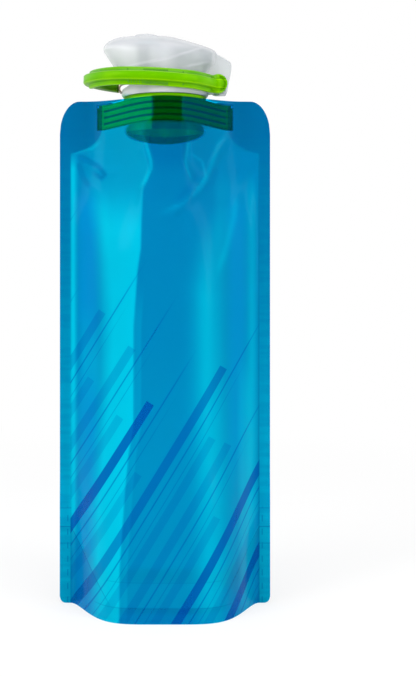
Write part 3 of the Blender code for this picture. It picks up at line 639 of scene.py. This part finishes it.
def refined(node, name, crease=35):
    """A merged and smoothly shaded copy of a CAD node."""
    made = link_object(name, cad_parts[node].data.copy())
    made.data.name = name
    return tidy(made, crease, merge=0.002 * MM)


def bake_modifiers(made):
    """Makes the evaluated shape the object's own mesh."""
    graph = bpy.context.evaluated_depsgraph_get()
    old = made.data
    made.data = bpy.data.meshes.new_from_object(made.evaluated_get(graph))
    made.data.name = made.name
    made.modifiers.clear()
    bpy.data.meshes.remove(old)
    return made


def combine(base, operation, *tools):
    """Joins, cuts or intersects base with each tool in turn, and removes the tools."""
    for tool in tools:
        step = base.modifiers.new(operation.lower(), "BOOLEAN")
        step.operation = operation
        step.object = tool
        step.solver = "EXACT"
        bake_modifiers(base)
        bpy.data.objects.remove(tool)
    return base


def hinge_arc(radius, from_degrees, to_degrees, steps=16):
    """Points of an arc about the hinge axis, in millimetres from it."""
    turns = np.radians(np.linspace(from_degrees, to_degrees, steps + 1))
    return [(radius * math.cos(turn), radius * math.sin(turn)) for turn in turns]


def hinge_plate(name, pairs, half, bevel=0.0):
    """A plate from an outline of (x, z) pairs round the hinge axis, from -half to half along Y, with rounded
    edges. Its sizes are in millimetres."""
    count = len(pairs)
    points = [(HINGE_X + x * MM, y * MM, HINGE_Z + z * MM) for y in (-half, half) for x, z in pairs]
    faces = [(i, (i + 1) % count, (i + 1) % count + count, i + count) for i in range(count)]
    made = tidy(own(name, points, [*faces, tuple(range(count)), tuple(range(count, 2 * count))]))
    if bevel:
        soft = made.modifiers.new("bevel", "BEVEL")
        soft.width = bevel * MM
        soft.segments = 3
        soft.limit_method = "ANGLE"
        soft.angle_limit = math.radians(50)
        bake_modifiers(made)
    return made


def make_lid():
    """The lid's ridged shell, joined to its heel, with its knuckles bored and slotted for the crossbar."""
    outer, middle = lid_surface()
    normal = outward(outer)
    wall = settings("fitting").lid_wall / MM
    inner = outer - normal * wall
    outer = outer + normal * lid_relief(outer)[..., None]
    size = outer[..., 0].size
    points = np.vstack([outer.reshape(-1, 3), inner.reshape(-1, 3), [middle, middle - (0, 0, wall)]])
    points = points * MM + (0, 0, CAP_RIM)
    index = np.arange(size).reshape(outer.shape[:2])
    after = np.roll(index, -1, axis=1)
    quads = np.stack([index[:-1], after[:-1], after[1:], index[1:]], -1).reshape(-1, 4)
    rim = np.stack([index[0] + size, after[0] + size, after[0], index[0]], -1)
    faces = [*quads.tolist(), *(quads[:, ::-1] + size).tolist(), *rim.tolist()]
    pairs = list(zip(index[-1].tolist(), after[-1].tolist()))
    faces += [(a, b, 2 * size) for a, b in pairs]
    faces += [(b + size, a + size, 2 * size + 1) for a, b in pairs]
    lid = tidy(own("lid_shell", points.tolist(), faces), crease=40)
    heel = [*hinge_arc(KNUCKLE_RADIUS, 180, 275), *HEEL]
    combine(lid, "UNION", hinge_plate("heel", heel, KNUCKLE_OUTER, bevel=0.7))
    back, top = -CHANNEL_REACH, KNUCKLE_RADIUS
    room = [(back, back), (top, back), *hinge_arc(top, 0, 90), (back, top)]
    channel = hinge_plate("channel", room, KNUCKLE_INNER)
    hole = hinge_plate("hole", hinge_arc(PIN_BORE, 0, 350, steps=35), BORE_HALF)
    far, high = PIN_SLOT
    slot = hinge_plate("slot", ((-far, -high), (0, -high), (0, high), (-far, high)), BORE_HALF)
    return tidy(combine(lid, "DIFFERENCE", channel, hole, slot), crease=40)


def front_point(host, x, height):
    """The place on the front of the carabiner at this x and height over its middle line, in millimetres."""
    z = HINGE_Z + (height * MM - (x * MM - HINGE_X) * math.sin(LOOP_TILT)) / math.cos(LOOP_TILT)
    found, place, *_ = host.ray_cast((x * MM, -0.2, z), (0, 1, 0))
    if not found:
        raise RuntimeError(f"nothing of {host.name} lies at {x} mm")
    return tuple(place)


def stud_tree():
    """Geometry nodes that set a small block on each point."""
    tree = bpy.data.node_groups.new("studs", "GeometryNodeTree")
    for name, kind in (("Points", "Geometry"), ("Size", "Vector"), ("Finish", "Material")):
        tree.interface.new_socket(name, in_out="INPUT", socket_type="NodeSocket" + kind)
    tree.interface.new_socket("Studs", in_out="OUTPUT", socket_type="NodeSocketGeometry")
    kinds = ("NodeGroupInput", "GeometryNodeMeshCube", "GeometryNodeInstanceOnPoints",
             "GeometryNodeRealizeInstances", "GeometryNodeSetMaterial", "NodeGroupOutput")
    given, block, place, real, finish, made = (tree.nodes.new(kind) for kind in kinds)
    for source, out, target, into in ((given, "Size", block, "Size"), (given, "Points", place, "Points"),
                                      (block, "Mesh", place, "Instance"), (place, 0, real, 0),
                                      (real, 0, finish, 0), (given, "Finish", finish, "Material"),
                                      (finish, 0, made, 0)):
        tree.links.new(source.outputs[out], target.inputs[into])
    return tree


def make_studs(tree, name, host, places, size, finish):
    """Small studs on the front of the host, at (x, height) places. Places and size are in millimetres."""
    made = own(name, [front_point(host, x, height) for x, height in places], [])
    step = made.modifiers.new("studs", "NODES")
    step.node_group = tree
    given = {"Size": [side * MM for side in size], "Finish": finish}
    for item in tree.interface.items_tree:
        if item.name in given:
            step[item.identifier] = given[item.name]
    return tidy(bake_modifiers(made))


def film_grid(columns=200, rows=165, weld_rows=70, side_share=0.14, body_share=0.885):
    """Places over the film, as arrays of x and z, with closer columns at the sides and rows at the spout."""
    across = np.linspace(-1, 1, columns)
    x = HALF_WIDTH * ((1 - side_share) * across + side_share * np.sin(math.pi / 2 * across))
    up = np.concatenate([np.linspace(0, body_share, rows), np.linspace(body_share, 1, weld_rows + 1)[1:]])
    x, up = np.meshgrid(x, up, indexing="ij")
    return x, mix(corner_drop(x, FOOT_CORNER), POUCH_TOP - corner_drop(x, CORNER), up)


def make_wall(name, side, folds, shade):
    """One wall of the pouch with its folds. shade gives how light or deep the film looks at each place."""
    x, z = film_grid()
    inner = film_depth(x, z) + folded(x, z, folds) - sunk(x, z)
    points = []
    for depth in (inner, inner + settings("pouch").film):
        points += np.stack([x, side * depth, z], -1).reshape(-1, 3).tolist()
    index = np.arange(x.size).reshape(x.shape)
    quads = np.stack([index[:-1, :-1], index[1:, :-1], index[1:, 1:], index[:-1, 1:]], -1).reshape(-1, 4)
    edge = np.concatenate([index[:, 0], index[-1, 1:], index[-2::-1, -1], index[0, -2:0:-1]])
    after = np.roll(edge, -1)
    rim = np.stack([edge, after, after + x.size, edge + x.size], -1)
    faces = [*quads.tolist(), *(quads[:, ::-1] + x.size).tolist(), *rim.tolist()]
    wall = tidy(own(name, points, faces), crease=60)
    light, violet = shade(x / MM, z / MM)
    layers = {"shade": light, "violet": violet, "seal": sealed(x, z), "cling": cling(x, z, side)}
    for label, values in layers.items():
        layer = wall.data.attributes.new(label, "FLOAT", "POINT")
        layer.data.foreach_set("value", np.tile(values.reshape(-1), 2).astype(np.float32))
    return wall


# How light falls through the film, painted in millimetres over it. A curve is heights, then the values there
COLUMN_LEFT = ((60, 95, 120, 175, 205, 225, 250), (-42, -39, -37, -36, -38, -40, -46))
COLUMN_RIGHT = ((30, 75, 95, 110, 168, 200, 214, 232, 246, 258, 268, 280),
                (-26, -23, -21, -18.4, -18.2, -16, -14, -13.6, -12.6, -8.6, -11.2, -14))
HOLLOW_LEFT = ((249, 253, 260, 265, 274, 281, 287, 291, 300),
               (-13, -10, -6.5, -6.7, -9.3, -12, -11, -6.7, -6.7))
HOLLOW_RIGHT = ((249, 255, 260, 265, 274, 286, 291, 300), (16, 14, 11.7, 10.7, 12.1, 12.5, 9.9, 9.9))

# Soft light columns of the front: the curve of their strength, the curve of their middle, and their width
FRONT_COLUMNS = (
    (((26, 40, 60, 190, 215, 262, 272), (0.2, 0.5, 1.0, 1.0, 0.95, 0.85, 0)), ((0,), (-55.6,)), 2.2),
    (((60, 100, 185, 215, 240), (0.52, 0.66, 0.70, 0.36, 0.05)),
     ((60, 95, 190, 215, 235), (26, 25.5, 24.5, 27, 33)), 8.0),
    (((20, 60, 190, 245, 262), (0.25, 0.52, 0.50, 0.36, 0)), ((0,), (52.6,)), 3.0),
)

# Light and dark creases, as bent lines of (x, z), each with its width and how much lighter it looks
FRONT_CREASES = (
    (((14.5, 254), (19, 249), (24, 256), (22, 265), (16, 269), (12, 268)), 0.9, 0.20),
    (((38, 284), (32, 276), (27, 262), (22, 250), (10, 240), (-6, 232)), 1.5, 0.24),
    (((20, 262), (17, 252), (9, 243), (5, 238)), 2.6, -0.30),
    (((31, 262), (27, 252), (21, 246)), 1.4, -0.20),
    (((43, 246), (41, 232), (36, 214), (30, 196)), 2.0, 0.24),
    (((-54, 269), (-47, 267), (-40, 263), (-36, 258), (-38, 256), (-46, 261)), 1.5, -0.42),
    (((-56, 271), (-50, 273), (-44, 274), (-38, 279)), 1.0, 0.30),
    (((-53, 266), (-49, 256), (-44, 249)), 1.6, -0.25),
)
BACK_CREASES = (
    (((40, 283), (33, 262), (24, 240), (16, 214)), 2.0, 0.35),
    (((-52, 266), (-43, 258), (-34, 250)), 2.4, -0.35),
)


def front_shade(x, z):
    """How light falls through the front: from -1 where it looks deepest to 1 where it is lightest, and how
    much it leans to violet blue."""
    shade = 0.16 * rise(z, 235, 60) + 0.10 * rise(z, 232, 262) * rise(x, -6, -12)
    # A broad bright column on the left with a crisp right edge
    left, right = (np.interp(z, *curve) for curve in (COLUMN_LEFT, COLUMN_RIGHT))
    column = rise(x - left, -6, 7) * (1 - rise(x - right, -0.7, 0.7))
    shade += column * (0.26 + 0.66 * rise(z, 258, 222))
    shade += 0.17 * band(x - right, 0, 4.5, 1.2) * rise(z, 196, 170)
    for strength, middle, width in FRONT_COLUMNS:
        shade += np.interp(z, *strength) * bell(x, np.interp(z, *middle), width)
    # Broad soft light beside the seals
    shade += 0.30 * band(x, -50, -40, 5) * band(z, 132, 165, 40)
    shade += 0.30 * band(x, 44, 51, 5) * rise(z, 160, 120)
    shade += 0.13 * band(x, 30, 51, 6) * rise(z, 262, 246) + 0.10 * band(x, -53, -34, 6) * rise(z, 250, 236)
    # The shade under the neck, with its light wavy rim
    left, right = (np.interp(z, *curve) for curve in (HOLLOW_LEFT, HOLLOW_RIGHT))
    hollow = rise(x - left, -0.8, 0.8) * rise(right - x, -0.8, 0.8) * rise(z, 236, 250)
    shade -= (0.22 + 0.42 * rise(z, 254, 268)) * hollow
    shade += 0.42 * bell(x, left - 1.6, 1.3) * rise(z, 247, 254) * rise(z, 290, 284)
    shade += 0.22 * bell(x, right + 1.2, 1.0) * rise(z, 250, 256) * rise(z, 290, 284)
    shade += all_folds(x, z, FRONT_CREASES)
    foot = z - bond_line(x)
    shade -= 0.22 * rise(foot, 0.8, -0.8)
    violet = band(x, -52, -40, 6) * rise(z, 256, 236) * (1 - 0.6 * band(z, 132, 165, 40))
    violet += 0.75 * band(x, 38, 48, 7) * rise(z, 252, 232) * rise(z, 60, 110)
    violet += 0.5 * rise(foot, 1, -12)
    return clamp(shade, -1, 1), clamp(violet)


def bond_line(x):
    """Height in millimetres of the weld's upper edge at the foot, where x is in millimetres too."""
    return 9 + 37 * clamp((np.abs(x) - 31) / 26) ** 0.95


def back_shade(x, z):
    """The same for the back."""
    shade = 0.14 * rise(z, 230, 60) + all_folds(x, z, BACK_CREASES)
    shade += 0.62 * bell(x, 26, 8) * rise(z, 250, 205) + 0.50 * bell(x, -30, 9) * rise(z, 250, 190)
    shade += 0.6 * bell(np.abs(x), 54.8, 2.0) * rise(z, 266, 240) - 0.25 * bell(x, 0, 11)
    shade -= 0.2 * rise(z - bond_line(x), 0.8, -0.8)
    violet = 0.7 * band(np.abs(x), 40, 50, 7) * rise(z, 256, 236)
    return clamp(shade, -1, 1), violet


def film_material(name, striped):
    """Clear blue film: painted light and painted shade, welded edges, a fine crinkle, and stripes where
    striped.
    """
    pouch = settings("pouch")
    board = Finish(name, ior=1.22, specular_ior_level=0.30, specular_tint=(0.0, 0.6, 1.0, 1),
                   coat_roughness=0.12)
    x, _, z = board.split(board.place)
    shade, violet, seal, held = (board.attribute(label) for label in ("shade", "violet", "seal", "cling"))
    drift = board.noise(26.0) - 0.5
    # Painted light where the shade attribute is above 0, painted shade where it is below
    light = (shade + drift * 0.08).ramp()
    deep = (0.0 - shade + drift * 0.06).ramp()
    film = board.coats(pouch.clear_blue, (violet * 0.8, pouch.violet_blue), (light, pouch.light_blue),
                       (deep, pouch.shade_and_weld_blue))
    if striped:
        film = board.coats(film, (stripes(x, z), pouch.print_blue))
    pressed = board.noise(300.0, stretch=(0.12, 1.0, 1.0)).rise(0.35, 0.65)
    welded = board.coats(pouch.seal_blue, (z.ramp(285 * MM, 40 * MM), pouch.low_seal),
                         (pressed * 0.22, pouch.shade_and_weld_blue))
    on_ribs = z.rise(WELD_BOTTOM, WELD_BOTTOM + 4 * MM)
    film = board.coats(film, (seal, welded), (weld_lines(x, z), pouch.shade_and_weld_blue),
                       ((held * deep * on_ribs * 1.8).ramp(), pouch.neck_green))
    crinkle = board.bump(board.noise(420.0, 4.0, 0.6, stretch=(1.0, 1.0, 0.5)), 0.02 * MM)
    board.set(base_color=film, roughness=0.15 + seal * 0.14 + drift * 0.06,
              normal=board.bump((board.noise(1500.0) + pressed) * seal, 0.03 * MM, crinkle),
              coat_weight=(1 - deep * 1.6).ramp() * (1 - held * 0.7) * 0.03)
    cover = pouch.body_cover + light * pouch.bright_cover + deep * 0.10 + seal * 0.16
    board.see_through(cover * (1 - held) + held * pouch.weld_cover, pouch.tint)
    return board.material


# Level weld lines, in millimetres: height, how far from the middle it starts and is whole, and strength
LEVEL_LINES = ((8.6, 44, 38, 0.6), (23.0, 36, 30, 0.4), (35.8, 56, 57, 1.0), (57.0, 56, 57, 1.0))


def weld_lines(x, z, fine=0.3 * MM):
    """Thin weld lines: the curved edge of the gusset's weld, the level ones of the base and across the side
    seals, the dashes along these, and the inner edge of the right seal."""
    side = abs(x)
    height = z - (side.ramp(31 * MM, 57 * MM) * (37 * MM) + 9 * MM)
    lines = height.band(-0.35 * MM, 0.35 * MM, fine) * side.rise(30 * MM, 36 * MM)
    for level, start, end, strength in LEVEL_LINES:
        line = z.band(level * MM, (level + 0.5) * MM, fine) * side.rise(start * MM, end * MM)
        lines = lines + line * strength
    dashes = (z / (1.3 * MM)).sine().rise(-0.2, 0.4) * side.band(58.3 * MM, 59.0 * MM, fine)
    right = x.band(56.5 * MM, 57.0 * MM, fine) * z.band(45 * MM, 262 * MM, 20 * MM)
    return (lines + dashes * z.rise(60 * MM, 56 * MM) + right * 0.7).ramp() * 0.55


# Thin stripes: from and to which share of the pitch, how soft, from and to how many millimetres past the
# broad one's top each fades out, and its strength
THIN_STRIPES = (
    (0.42, 0.45, 0.012, 10, 44, 0.55),
    (0.60, 0.618, 0.010, -30, 20, 0.40),
    (0.70, 0.88, 0.012, -38, -37.6, 0.24),
)


def stripes(x, z):
    """Straight slanting stripes over the lower front, each broad one of its own length and strength and
    followed by thin ones."""
    pouch = settings("pouch")
    lean = pouch.stripe_slope
    across = (x * math.sin(lean) - z * math.cos(lean)) / pouch.stripe_pitch
    cell = across.floor()
    place = across - cell
    over = x * math.cos(lean) + z * math.sin(lean) - ((cell * 2.4).sine() * (22 * MM) + 118 * MM)
    ink = (cell * 1.9 + 0.6).sine().rise(-0.9, 0.9, 0.28, 0.84)
    drawn = place.band(0.10, 0.29, 0.012) * (1 - over.rise(0, 0.4 * MM)) * ink
    for low, high, soft, start, end, strength in THIN_STRIPES:
        drawn = drawn + place.band(low, high, soft) * (1 - over.rise(start * MM, end * MM)) * strength
    return drawn


# Finishes of the moulded pieces

def lime_material(name, welded):
    """Lime plastic with a soft mottle and a fine moulded grain. The carabiner has painted highlights on its
    edges and painted shade on its upper faces, at the foot of its flange and inside its loop. Where the
    plastic is welded in, its grooves and the middle of its front have painted shade, and its left flank a
    painted highlight."""
    fitting = settings("fitting")
    lime_deep = fitting.lime_deep
    board = Finish(name, specular_ior_level=0.15 if welded else 0.25, specular_tint=(0.75, 1.0, 0.0, 1))
    x, y, z = board.split(board.place)
    mottle = board.noise(70.0, 3.0)
    film = board.coats(fitting.lime, (mottle.rise(0.35, 0.75) * 0.25, fitting.lime_mottle_and_highlight))
    if welded:
        # Painted shade on the middle and the right of the spout's front, in its grooves and on its fins, and
        # a painted highlight on its left flank
        side = abs(x)
        front = y.rise(4 * MM, -4 * MM) * z.band(WELD_BOTTOM - 2 * MM, POUCH_TOP + 0.5 * MM, 1.0 * MM)
        middle = x.band(-7.6 * MM, 10 * MM, 1.4 * MM)
        shade = front * (middle * 0.66 + x.rise(9 * MM, 12 * MM) * 0.58)
        part = side.ramp(0.0, RIB_REACH)
        step = (z - (1 - part * part) * RIB_RISE + (RIB_DROP - WELD_BOTTOM)) / RIB_PITCH
        groove = (1 - (step - step.floor()).band(*RIB_SPAN, 0.16)) * step.band(0.1, RIB_COUNT - 0.1, 0.16)
        groove = groove * side.rise(FIN_START - 0.6 * MM, FIN_START - 1.2 * MM)
        dark = board.coats(fitting.groove, (front * middle, fitting.groove_deep))
        film = board.coats(film, (front * x.rise(-6 * MM, -9 * MM), fitting.lime_lit),
                           (shade.ramp(), lime_deep), (groove * 0.75, dark),
                           (side.rise(FIN_START, FIN_START + 0.4 * MM) * 0.75, lime_deep))
    else:
        # Painted highlights on the bar's edges, and painted shade on its upper faces, at the foot of its
        # flange and inside its loop
        out = abs((z - HINGE_Z) * math.cos(LOOP_TILT) + (x - HINGE_X) * math.sin(LOOP_TILT))
        edge = out.band(SPINE_HALF - 0.5 * MM, SPINE_HALF + 0.05 * MM, 0.3 * MM)
        edge = edge + out.rise(FLANGE_HALF - 0.9 * MM, FLANGE_HALF - 0.2 * MM) * 0.8
        foot = out.band(SPINE_HALF + 0.1 * MM, SPINE_HALF + 0.7 * MM, 0.3 * MM)
        inside = y.rise(2 * MM, 9 * MM) * x.rise(20 * MM, 12 * MM)
        film = board.coats(film, (edge.ramp() * 0.8, fitting.lime_mottle_and_highlight),
                           (board.facing_up().rise(0.05, 0.8) * 0.50, lime_deep),
                           (foot * 0.35, lime_deep), (inside * 0.45, lime_deep))
    board.set(base_color=film, roughness=0.28 + mottle * 0.12,
              normal=board.bump(board.noise(2600.0), 0.012 * MM))
    return board.material


def toned(tone, *factors):
    """A colour with each of its channels times a factor."""
    return [value * factor for value, factor in zip(tone, factors)]


def frosted_material(name, cover):
    """Translucent frosted plastic with faint flow lines and a fine etched grain. It has painted light
    towards the left, painted shade on its front towards the right and in a narrow band left of the middle,
    and painted shade on its upper faces."""
    fitting = settings("fitting")
    frosted = fitting.frosted
    board = Finish(name, coat_weight=0.1, coat_roughness=0.3)
    x, y, _ = board.split(board.place)
    cloud = board.noise(32.0, 3.0)
    flow = board.noise(60.0, stretch=(1.0, 1.0, 5.0))
    # Painted shade on the front towards the right and in a band left of the middle, painted light towards
    # the left, painted shade on upper faces
    shade = x.band(-16 * MM, -9 * MM, 5 * MM) * 0.45 + x.rise(-1 * MM, 9 * MM) * 0.75
    skin = board.coats(frosted, (cloud.rise(0.35, 0.7), toned(frosted, 0.93, 0.95, 0.99)),
                       (x.rise(-10 * MM, -26 * MM) * 0.8, fitting.frosted_lit),
                       (shade * y.rise(2 * MM, -6 * MM), fitting.frosted_deep),
                       (board.facing_up().rise(-0.1, 0.75), toned(frosted, 0.70, 0.71, 0.72)))
    board.set(base_color=skin, roughness=0.34 + flow * 0.12,
              normal=board.bump(board.noise(1900.0), 0.015 * MM, board.bump(flow, 0.10 * MM)))
    board.see_through(cover + cloud * 0.10, fitting.frosted_tint)
    return board.material


def soft_material(name, tone, roughness):
    """A soft seal with a matt, slightly uneven skin."""
    board = Finish(name, roughness=roughness)
    cloud = board.noise(90.0, 3.0).rise(0.3, 0.7)
    board.set(base_color=board.coats(tone, (cloud, toned(tone, 0.7, 0.7, 0.7))),
              normal=board.bump(board.noise(1500.0), 0.02 * MM))
    return board.material


def steel_material():
    """Drawn stainless wire: fine lines along its length and a brownish sheen."""
    steel = settings("fitting").steel
    board = Finish("steel_wire", metallic=1.0)
    lines = board.noise(900.0, 3.0, stretch=(0.1, 1.0, 1.0))
    board.set(base_color=board.coats(steel, (board.noise(150.0), toned(steel, 1.15, 1.0, 0.85))),
              roughness=0.2 + lines * 0.2, normal=board.bump(lines, 0.01 * MM))
    return board.material


# Stage

WHITE = (1, 1, 1, 1)
STAGE_MIDDLE = (0, 0, 0.17)
FLOOR_REACH = 6.0
FLOOR_GLOW = 0.72

# Lamps: name, place, width and height, and power in watts
LAMPS = (
    ("left_softbox", (-0.95, -0.75, 0.75), (0.5, 1.0), 9),
    ("right_softbox", (0.95, -0.65, 0.60), (0.35, 1.0), 6),
    ("top_softbox", (0.0, -0.2, 1.3), (0.9, 0.9), 9),
)


def floor_material(tone):
    """A plain ground that shows near white to the camera and keeps the shadow."""
    board = Finish("floor", roughness=0.9)
    board.set(base_color=board.coats(tone, (board.noise(8.0) * 0.02, (1, 1, 1))))
    seen = board.add("ShaderNodeLightPath", out="Is Camera Ray")
    away = board.add("ShaderNodeVectorMath", {0: board.place}, out="Value", operation="LENGTH")
    light = board.add("ShaderNodeEmission", {"Color": WHITE, "Strength": 1.0})
    board.surface(seen * away.rise(0.15, 0.7, FLOOR_GLOW, 1.0), board.solid(), light)
    return board.material


def softbox(name, place, size, power):
    lamp = bpy.data.lights.new(name, "AREA")
    lamp.shape = "RECTANGLE"
    lamp.size, lamp.size_y = size
    lamp.energy = power
    made = link_object(name, lamp)
    made.location = place
    made.rotation_mode = "QUATERNION"
    made.rotation_quaternion = (Vector(STAGE_MIDDLE) - Vector(place)).to_track_quat("-Z", "Y")


def make_world(strength):
    """Soft light from all around, seen as plain white by the camera, in gloss and through clear faces."""
    world = bpy.data.worlds.new("studio")
    bpy.context.scene.world = world
    board = Board(world)
    seen = board.add("ShaderNodeLightPath", out="Is Camera Ray")
    for kind in ("Is Glossy Ray", "Is Transmission Ray"):
        seen = seen.larger(board.add("ShaderNodeLightPath", out=kind))
    room, white = (board.add("ShaderNodeBackground", {"Color": WHITE, "Strength": light})
                   for light in (strength, 1.0))
    board.surface(seen, room, white, "World Output")


def make_camera():
    stage = settings("stage")
    camera = bpy.data.cameras.new("camera")
    camera.sensor_width = 36
    camera.lens = PHOTO_FOCAL * camera.sensor_width / PHOTO_HEIGHT
    camera.shift_x = (PHOTO_WIDTH / 2 - PHOTO_CENTRE[0]) / PHOTO_HEIGHT
    camera.shift_y = (PHOTO_CENTRE[1] - PHOTO_HEIGHT / 2) / PHOTO_HEIGHT
    camera.clip_start = 0.01
    made = link_object("camera", camera)
    made.location = (0, -stage.camera_distance, stage.camera_height)
    made.rotation_euler = (math.pi / 2, 0, 0)
    bpy.context.scene.camera = made


# One operator for each piece or group of like pieces

class PieceOperator:
    bl_options = {"REGISTER", "UNDO"}

    @classmethod
    def poll(cls, context):
        return context.mode == "OBJECT"


class BOTTLE_OT_stage(PieceOperator, Operator):
    """Make the floor, the lamps and the camera"""
    bl_idname = "bottle.stage"
    bl_label = "Stage"

    def execute(self, context):
        stage = settings("stage")
        make_camera()
        make_world(stage.room)
        corners = ((-1, -1), (1, -1), (1, 1), (-1, 1))
        floor = own("floor", [(x * FLOOR_REACH, y * FLOOR_REACH, 0) for x, y in corners], [(0, 1, 2, 3)])
        floor.data.materials.append(floor_material(stage.floor))
        for lamp in LAMPS:
            softbox(*lamp)
        return {"FINISHED"}


class BOTTLE_OT_films(PieceOperator, Operator):
    """Make the two walls of the pouch and its gusset"""
    bl_idname = "bottle.films"
    bl_label = "Films"

    def execute(self, context):
        striped = film_material("striped_film", striped=True)
        plain = film_material("plain_film", striped=False)
        front = make_wall("front_film_skin", -1, FRONT_FOLDS, front_shade)
        back = make_wall("back_film_skin", 1, BACK_FOLDS, back_shade)
        dress(front, striped, "pouch", "film", "front_film")
        dress(back, plain, "pouch", "film", "back_film")
        gusset = refined("gusset_film", "gusset_skin", crease=60)
        dress(gusset, plain, "pouch", "film", "gusset_film")
        return {"FINISHED"}


class BOTTLE_OT_spout(PieceOperator, Operator):
    """Make the lime spout that is welded between the films"""
    bl_idname = "bottle.spout"
    bl_label = "Spout"

    def execute(self, context):
        made = refined("spout_fitment", "spout_moulding")
        for vertex in made.data.vertices:
            vertex.co.z = arched(vertex.co.x, vertex.co.z)
        lime = lime_material("welded_lime", welded=True)
        dress(made, lime, "pouch", "lime_plastic", "spout_fitment")
        return {"FINISHED"}


class BOTTLE_OT_cap(PieceOperator, Operator):
    """Make the screw cap and its gasket"""
    bl_idname = "bottle.cap"
    bl_label = "Cap"

    def execute(self, context):
        seal = soft_material("gasket", settings("fitting").gasket, roughness=0.6)
        clear = frosted_material("frosted_cap", cover=0.74)
        dress(refined("cap_gasket", "gasket_ring"), seal, "gasket", "gasket", "cap_gasket")
        dress(refined("cap_base", "cap_shell"), clear, "cap", "frosted_plastic", "cap_base")
        return {"FINISHED"}


class BOTTLE_OT_lid(PieceOperator, Operator):
    """Make the flip lid and the plug inside it"""
    bl_idname = "bottle.lid"
    bl_label = "Lid"

    def execute(self, context):
        clear = frosted_material("frosted_plastic", cover=0.42)
        seal = soft_material("plug_seal", settings("fitting").plug, roughness=0.5)
        dress(make_lid(), clear, "lid", "frosted_plastic", "flip_lid")
        dress(refined("lid_plug_seal", "lid_plug"), seal, "lid", "plug_seal", "lid_plug_seal")
        return {"FINISHED"}


class BOTTLE_OT_carabiner(PieceOperator, Operator):
    """Make the carabiner with its grip ticks and mould pins, and its wire gate"""
    bl_idname = "bottle.carabiner"
    bl_label = "Carabiner"

    def execute(self, context):
        fitting = settings("fitting")
        made = refined("carabiner_frame", "carabiner_moulding")
        lime = lime_material("lime_plastic", welded=False)
        dress(made, lime, "carabiner", "lime_plastic", "carabiner_frame")
        dark = soft_material("engraved_lime", fitting.engraved, roughness=0.5)
        count = fitting.tick_count
        run, short_run = np.linspace(-12.2, 1.4, count), np.linspace(-21.0, -13.2, count // 3)
        ticks = [(x, -3.7) for x in run] + [(x, -3.5) for x in short_run]
        bar = [(x, 3.4) for x in run]
        pins = [(-21.6, 3.6), (-21.6, -3.1), (10.5, 3.4), (10.5, -3.6)]
        tree = stud_tree()
        for name, places, size in (("grip_ticks", ticks, (0.38, 0.30, 2.4)),
                                   ("grip_bar", bar, (0.62, 0.20, 1.3)),
                                   ("mould_pins", pins, (0.9, 0.24, 0.9))):
            marks = make_studs(tree, name, made, places, size, dark)
            dress(marks, dark, "carabiner", "lime_plastic")
        wire = refined("gate_wire", "gate_bail", crease=50)
        dress(wire, steel_material(), "gate", "steel_wire", "gate_wire")
        return {"FINISHED"}


class BOTTLE_PT_pieces(Panel):
    """The bottle's pieces and settings"""
    bl_label = "Collapsible Bottle"
    bl_idname = "BOTTLE_PT_pieces"
    bl_space_type = "VIEW_3D"
    bl_region_type = "UI"
    bl_category = "Bottle"

    def draw(self, context):
        for name in SETTINGS:
            group = settings(name)
            box = self.layout.box()
            box.label(text=name.title())
            for key in group.bl_rna.properties.keys():
                if key not in ("rna_type", "name"):
                    box.prop(group, key)
        for piece in PIECES:
            self.layout.operator(piece.bl_idname)


SETTINGS = {"pouch": PouchSettings, "fitting": FittingSettings, "stage": StageSettings}
PIECES = (BOTTLE_OT_stage, BOTTLE_OT_films, BOTTLE_OT_spout, BOTTLE_OT_cap, BOTTLE_OT_lid,
          BOTTLE_OT_carabiner)


def register():
    for group in (*SETTINGS.values(), *PIECES, BOTTLE_PT_pieces):
        bpy.utils.register_class(group)
    for name, group in SETTINGS.items():
        setattr(bpy.types.Scene, "bottle_" + name, PointerProperty(type=group))


def unregister():
    for name in SETTINGS:
        delattr(bpy.types.Scene, "bottle_" + name)
    for group in reversed((*SETTINGS.values(), *PIECES, BOTTLE_PT_pieces)):
        bpy.utils.unregister_class(group)


def main():
    register()
    bpy.context.scene.view_settings.view_transform = "Standard"
    bpy.ops.bottle.stage()
    bpy.ops.bottle.films()
    bpy.ops.bottle.spout()
    bpy.ops.bottle.cap()
    bpy.ops.bottle.lid()
    bpy.ops.bottle.carabiner()


if __name__ == "__main__":
    main()
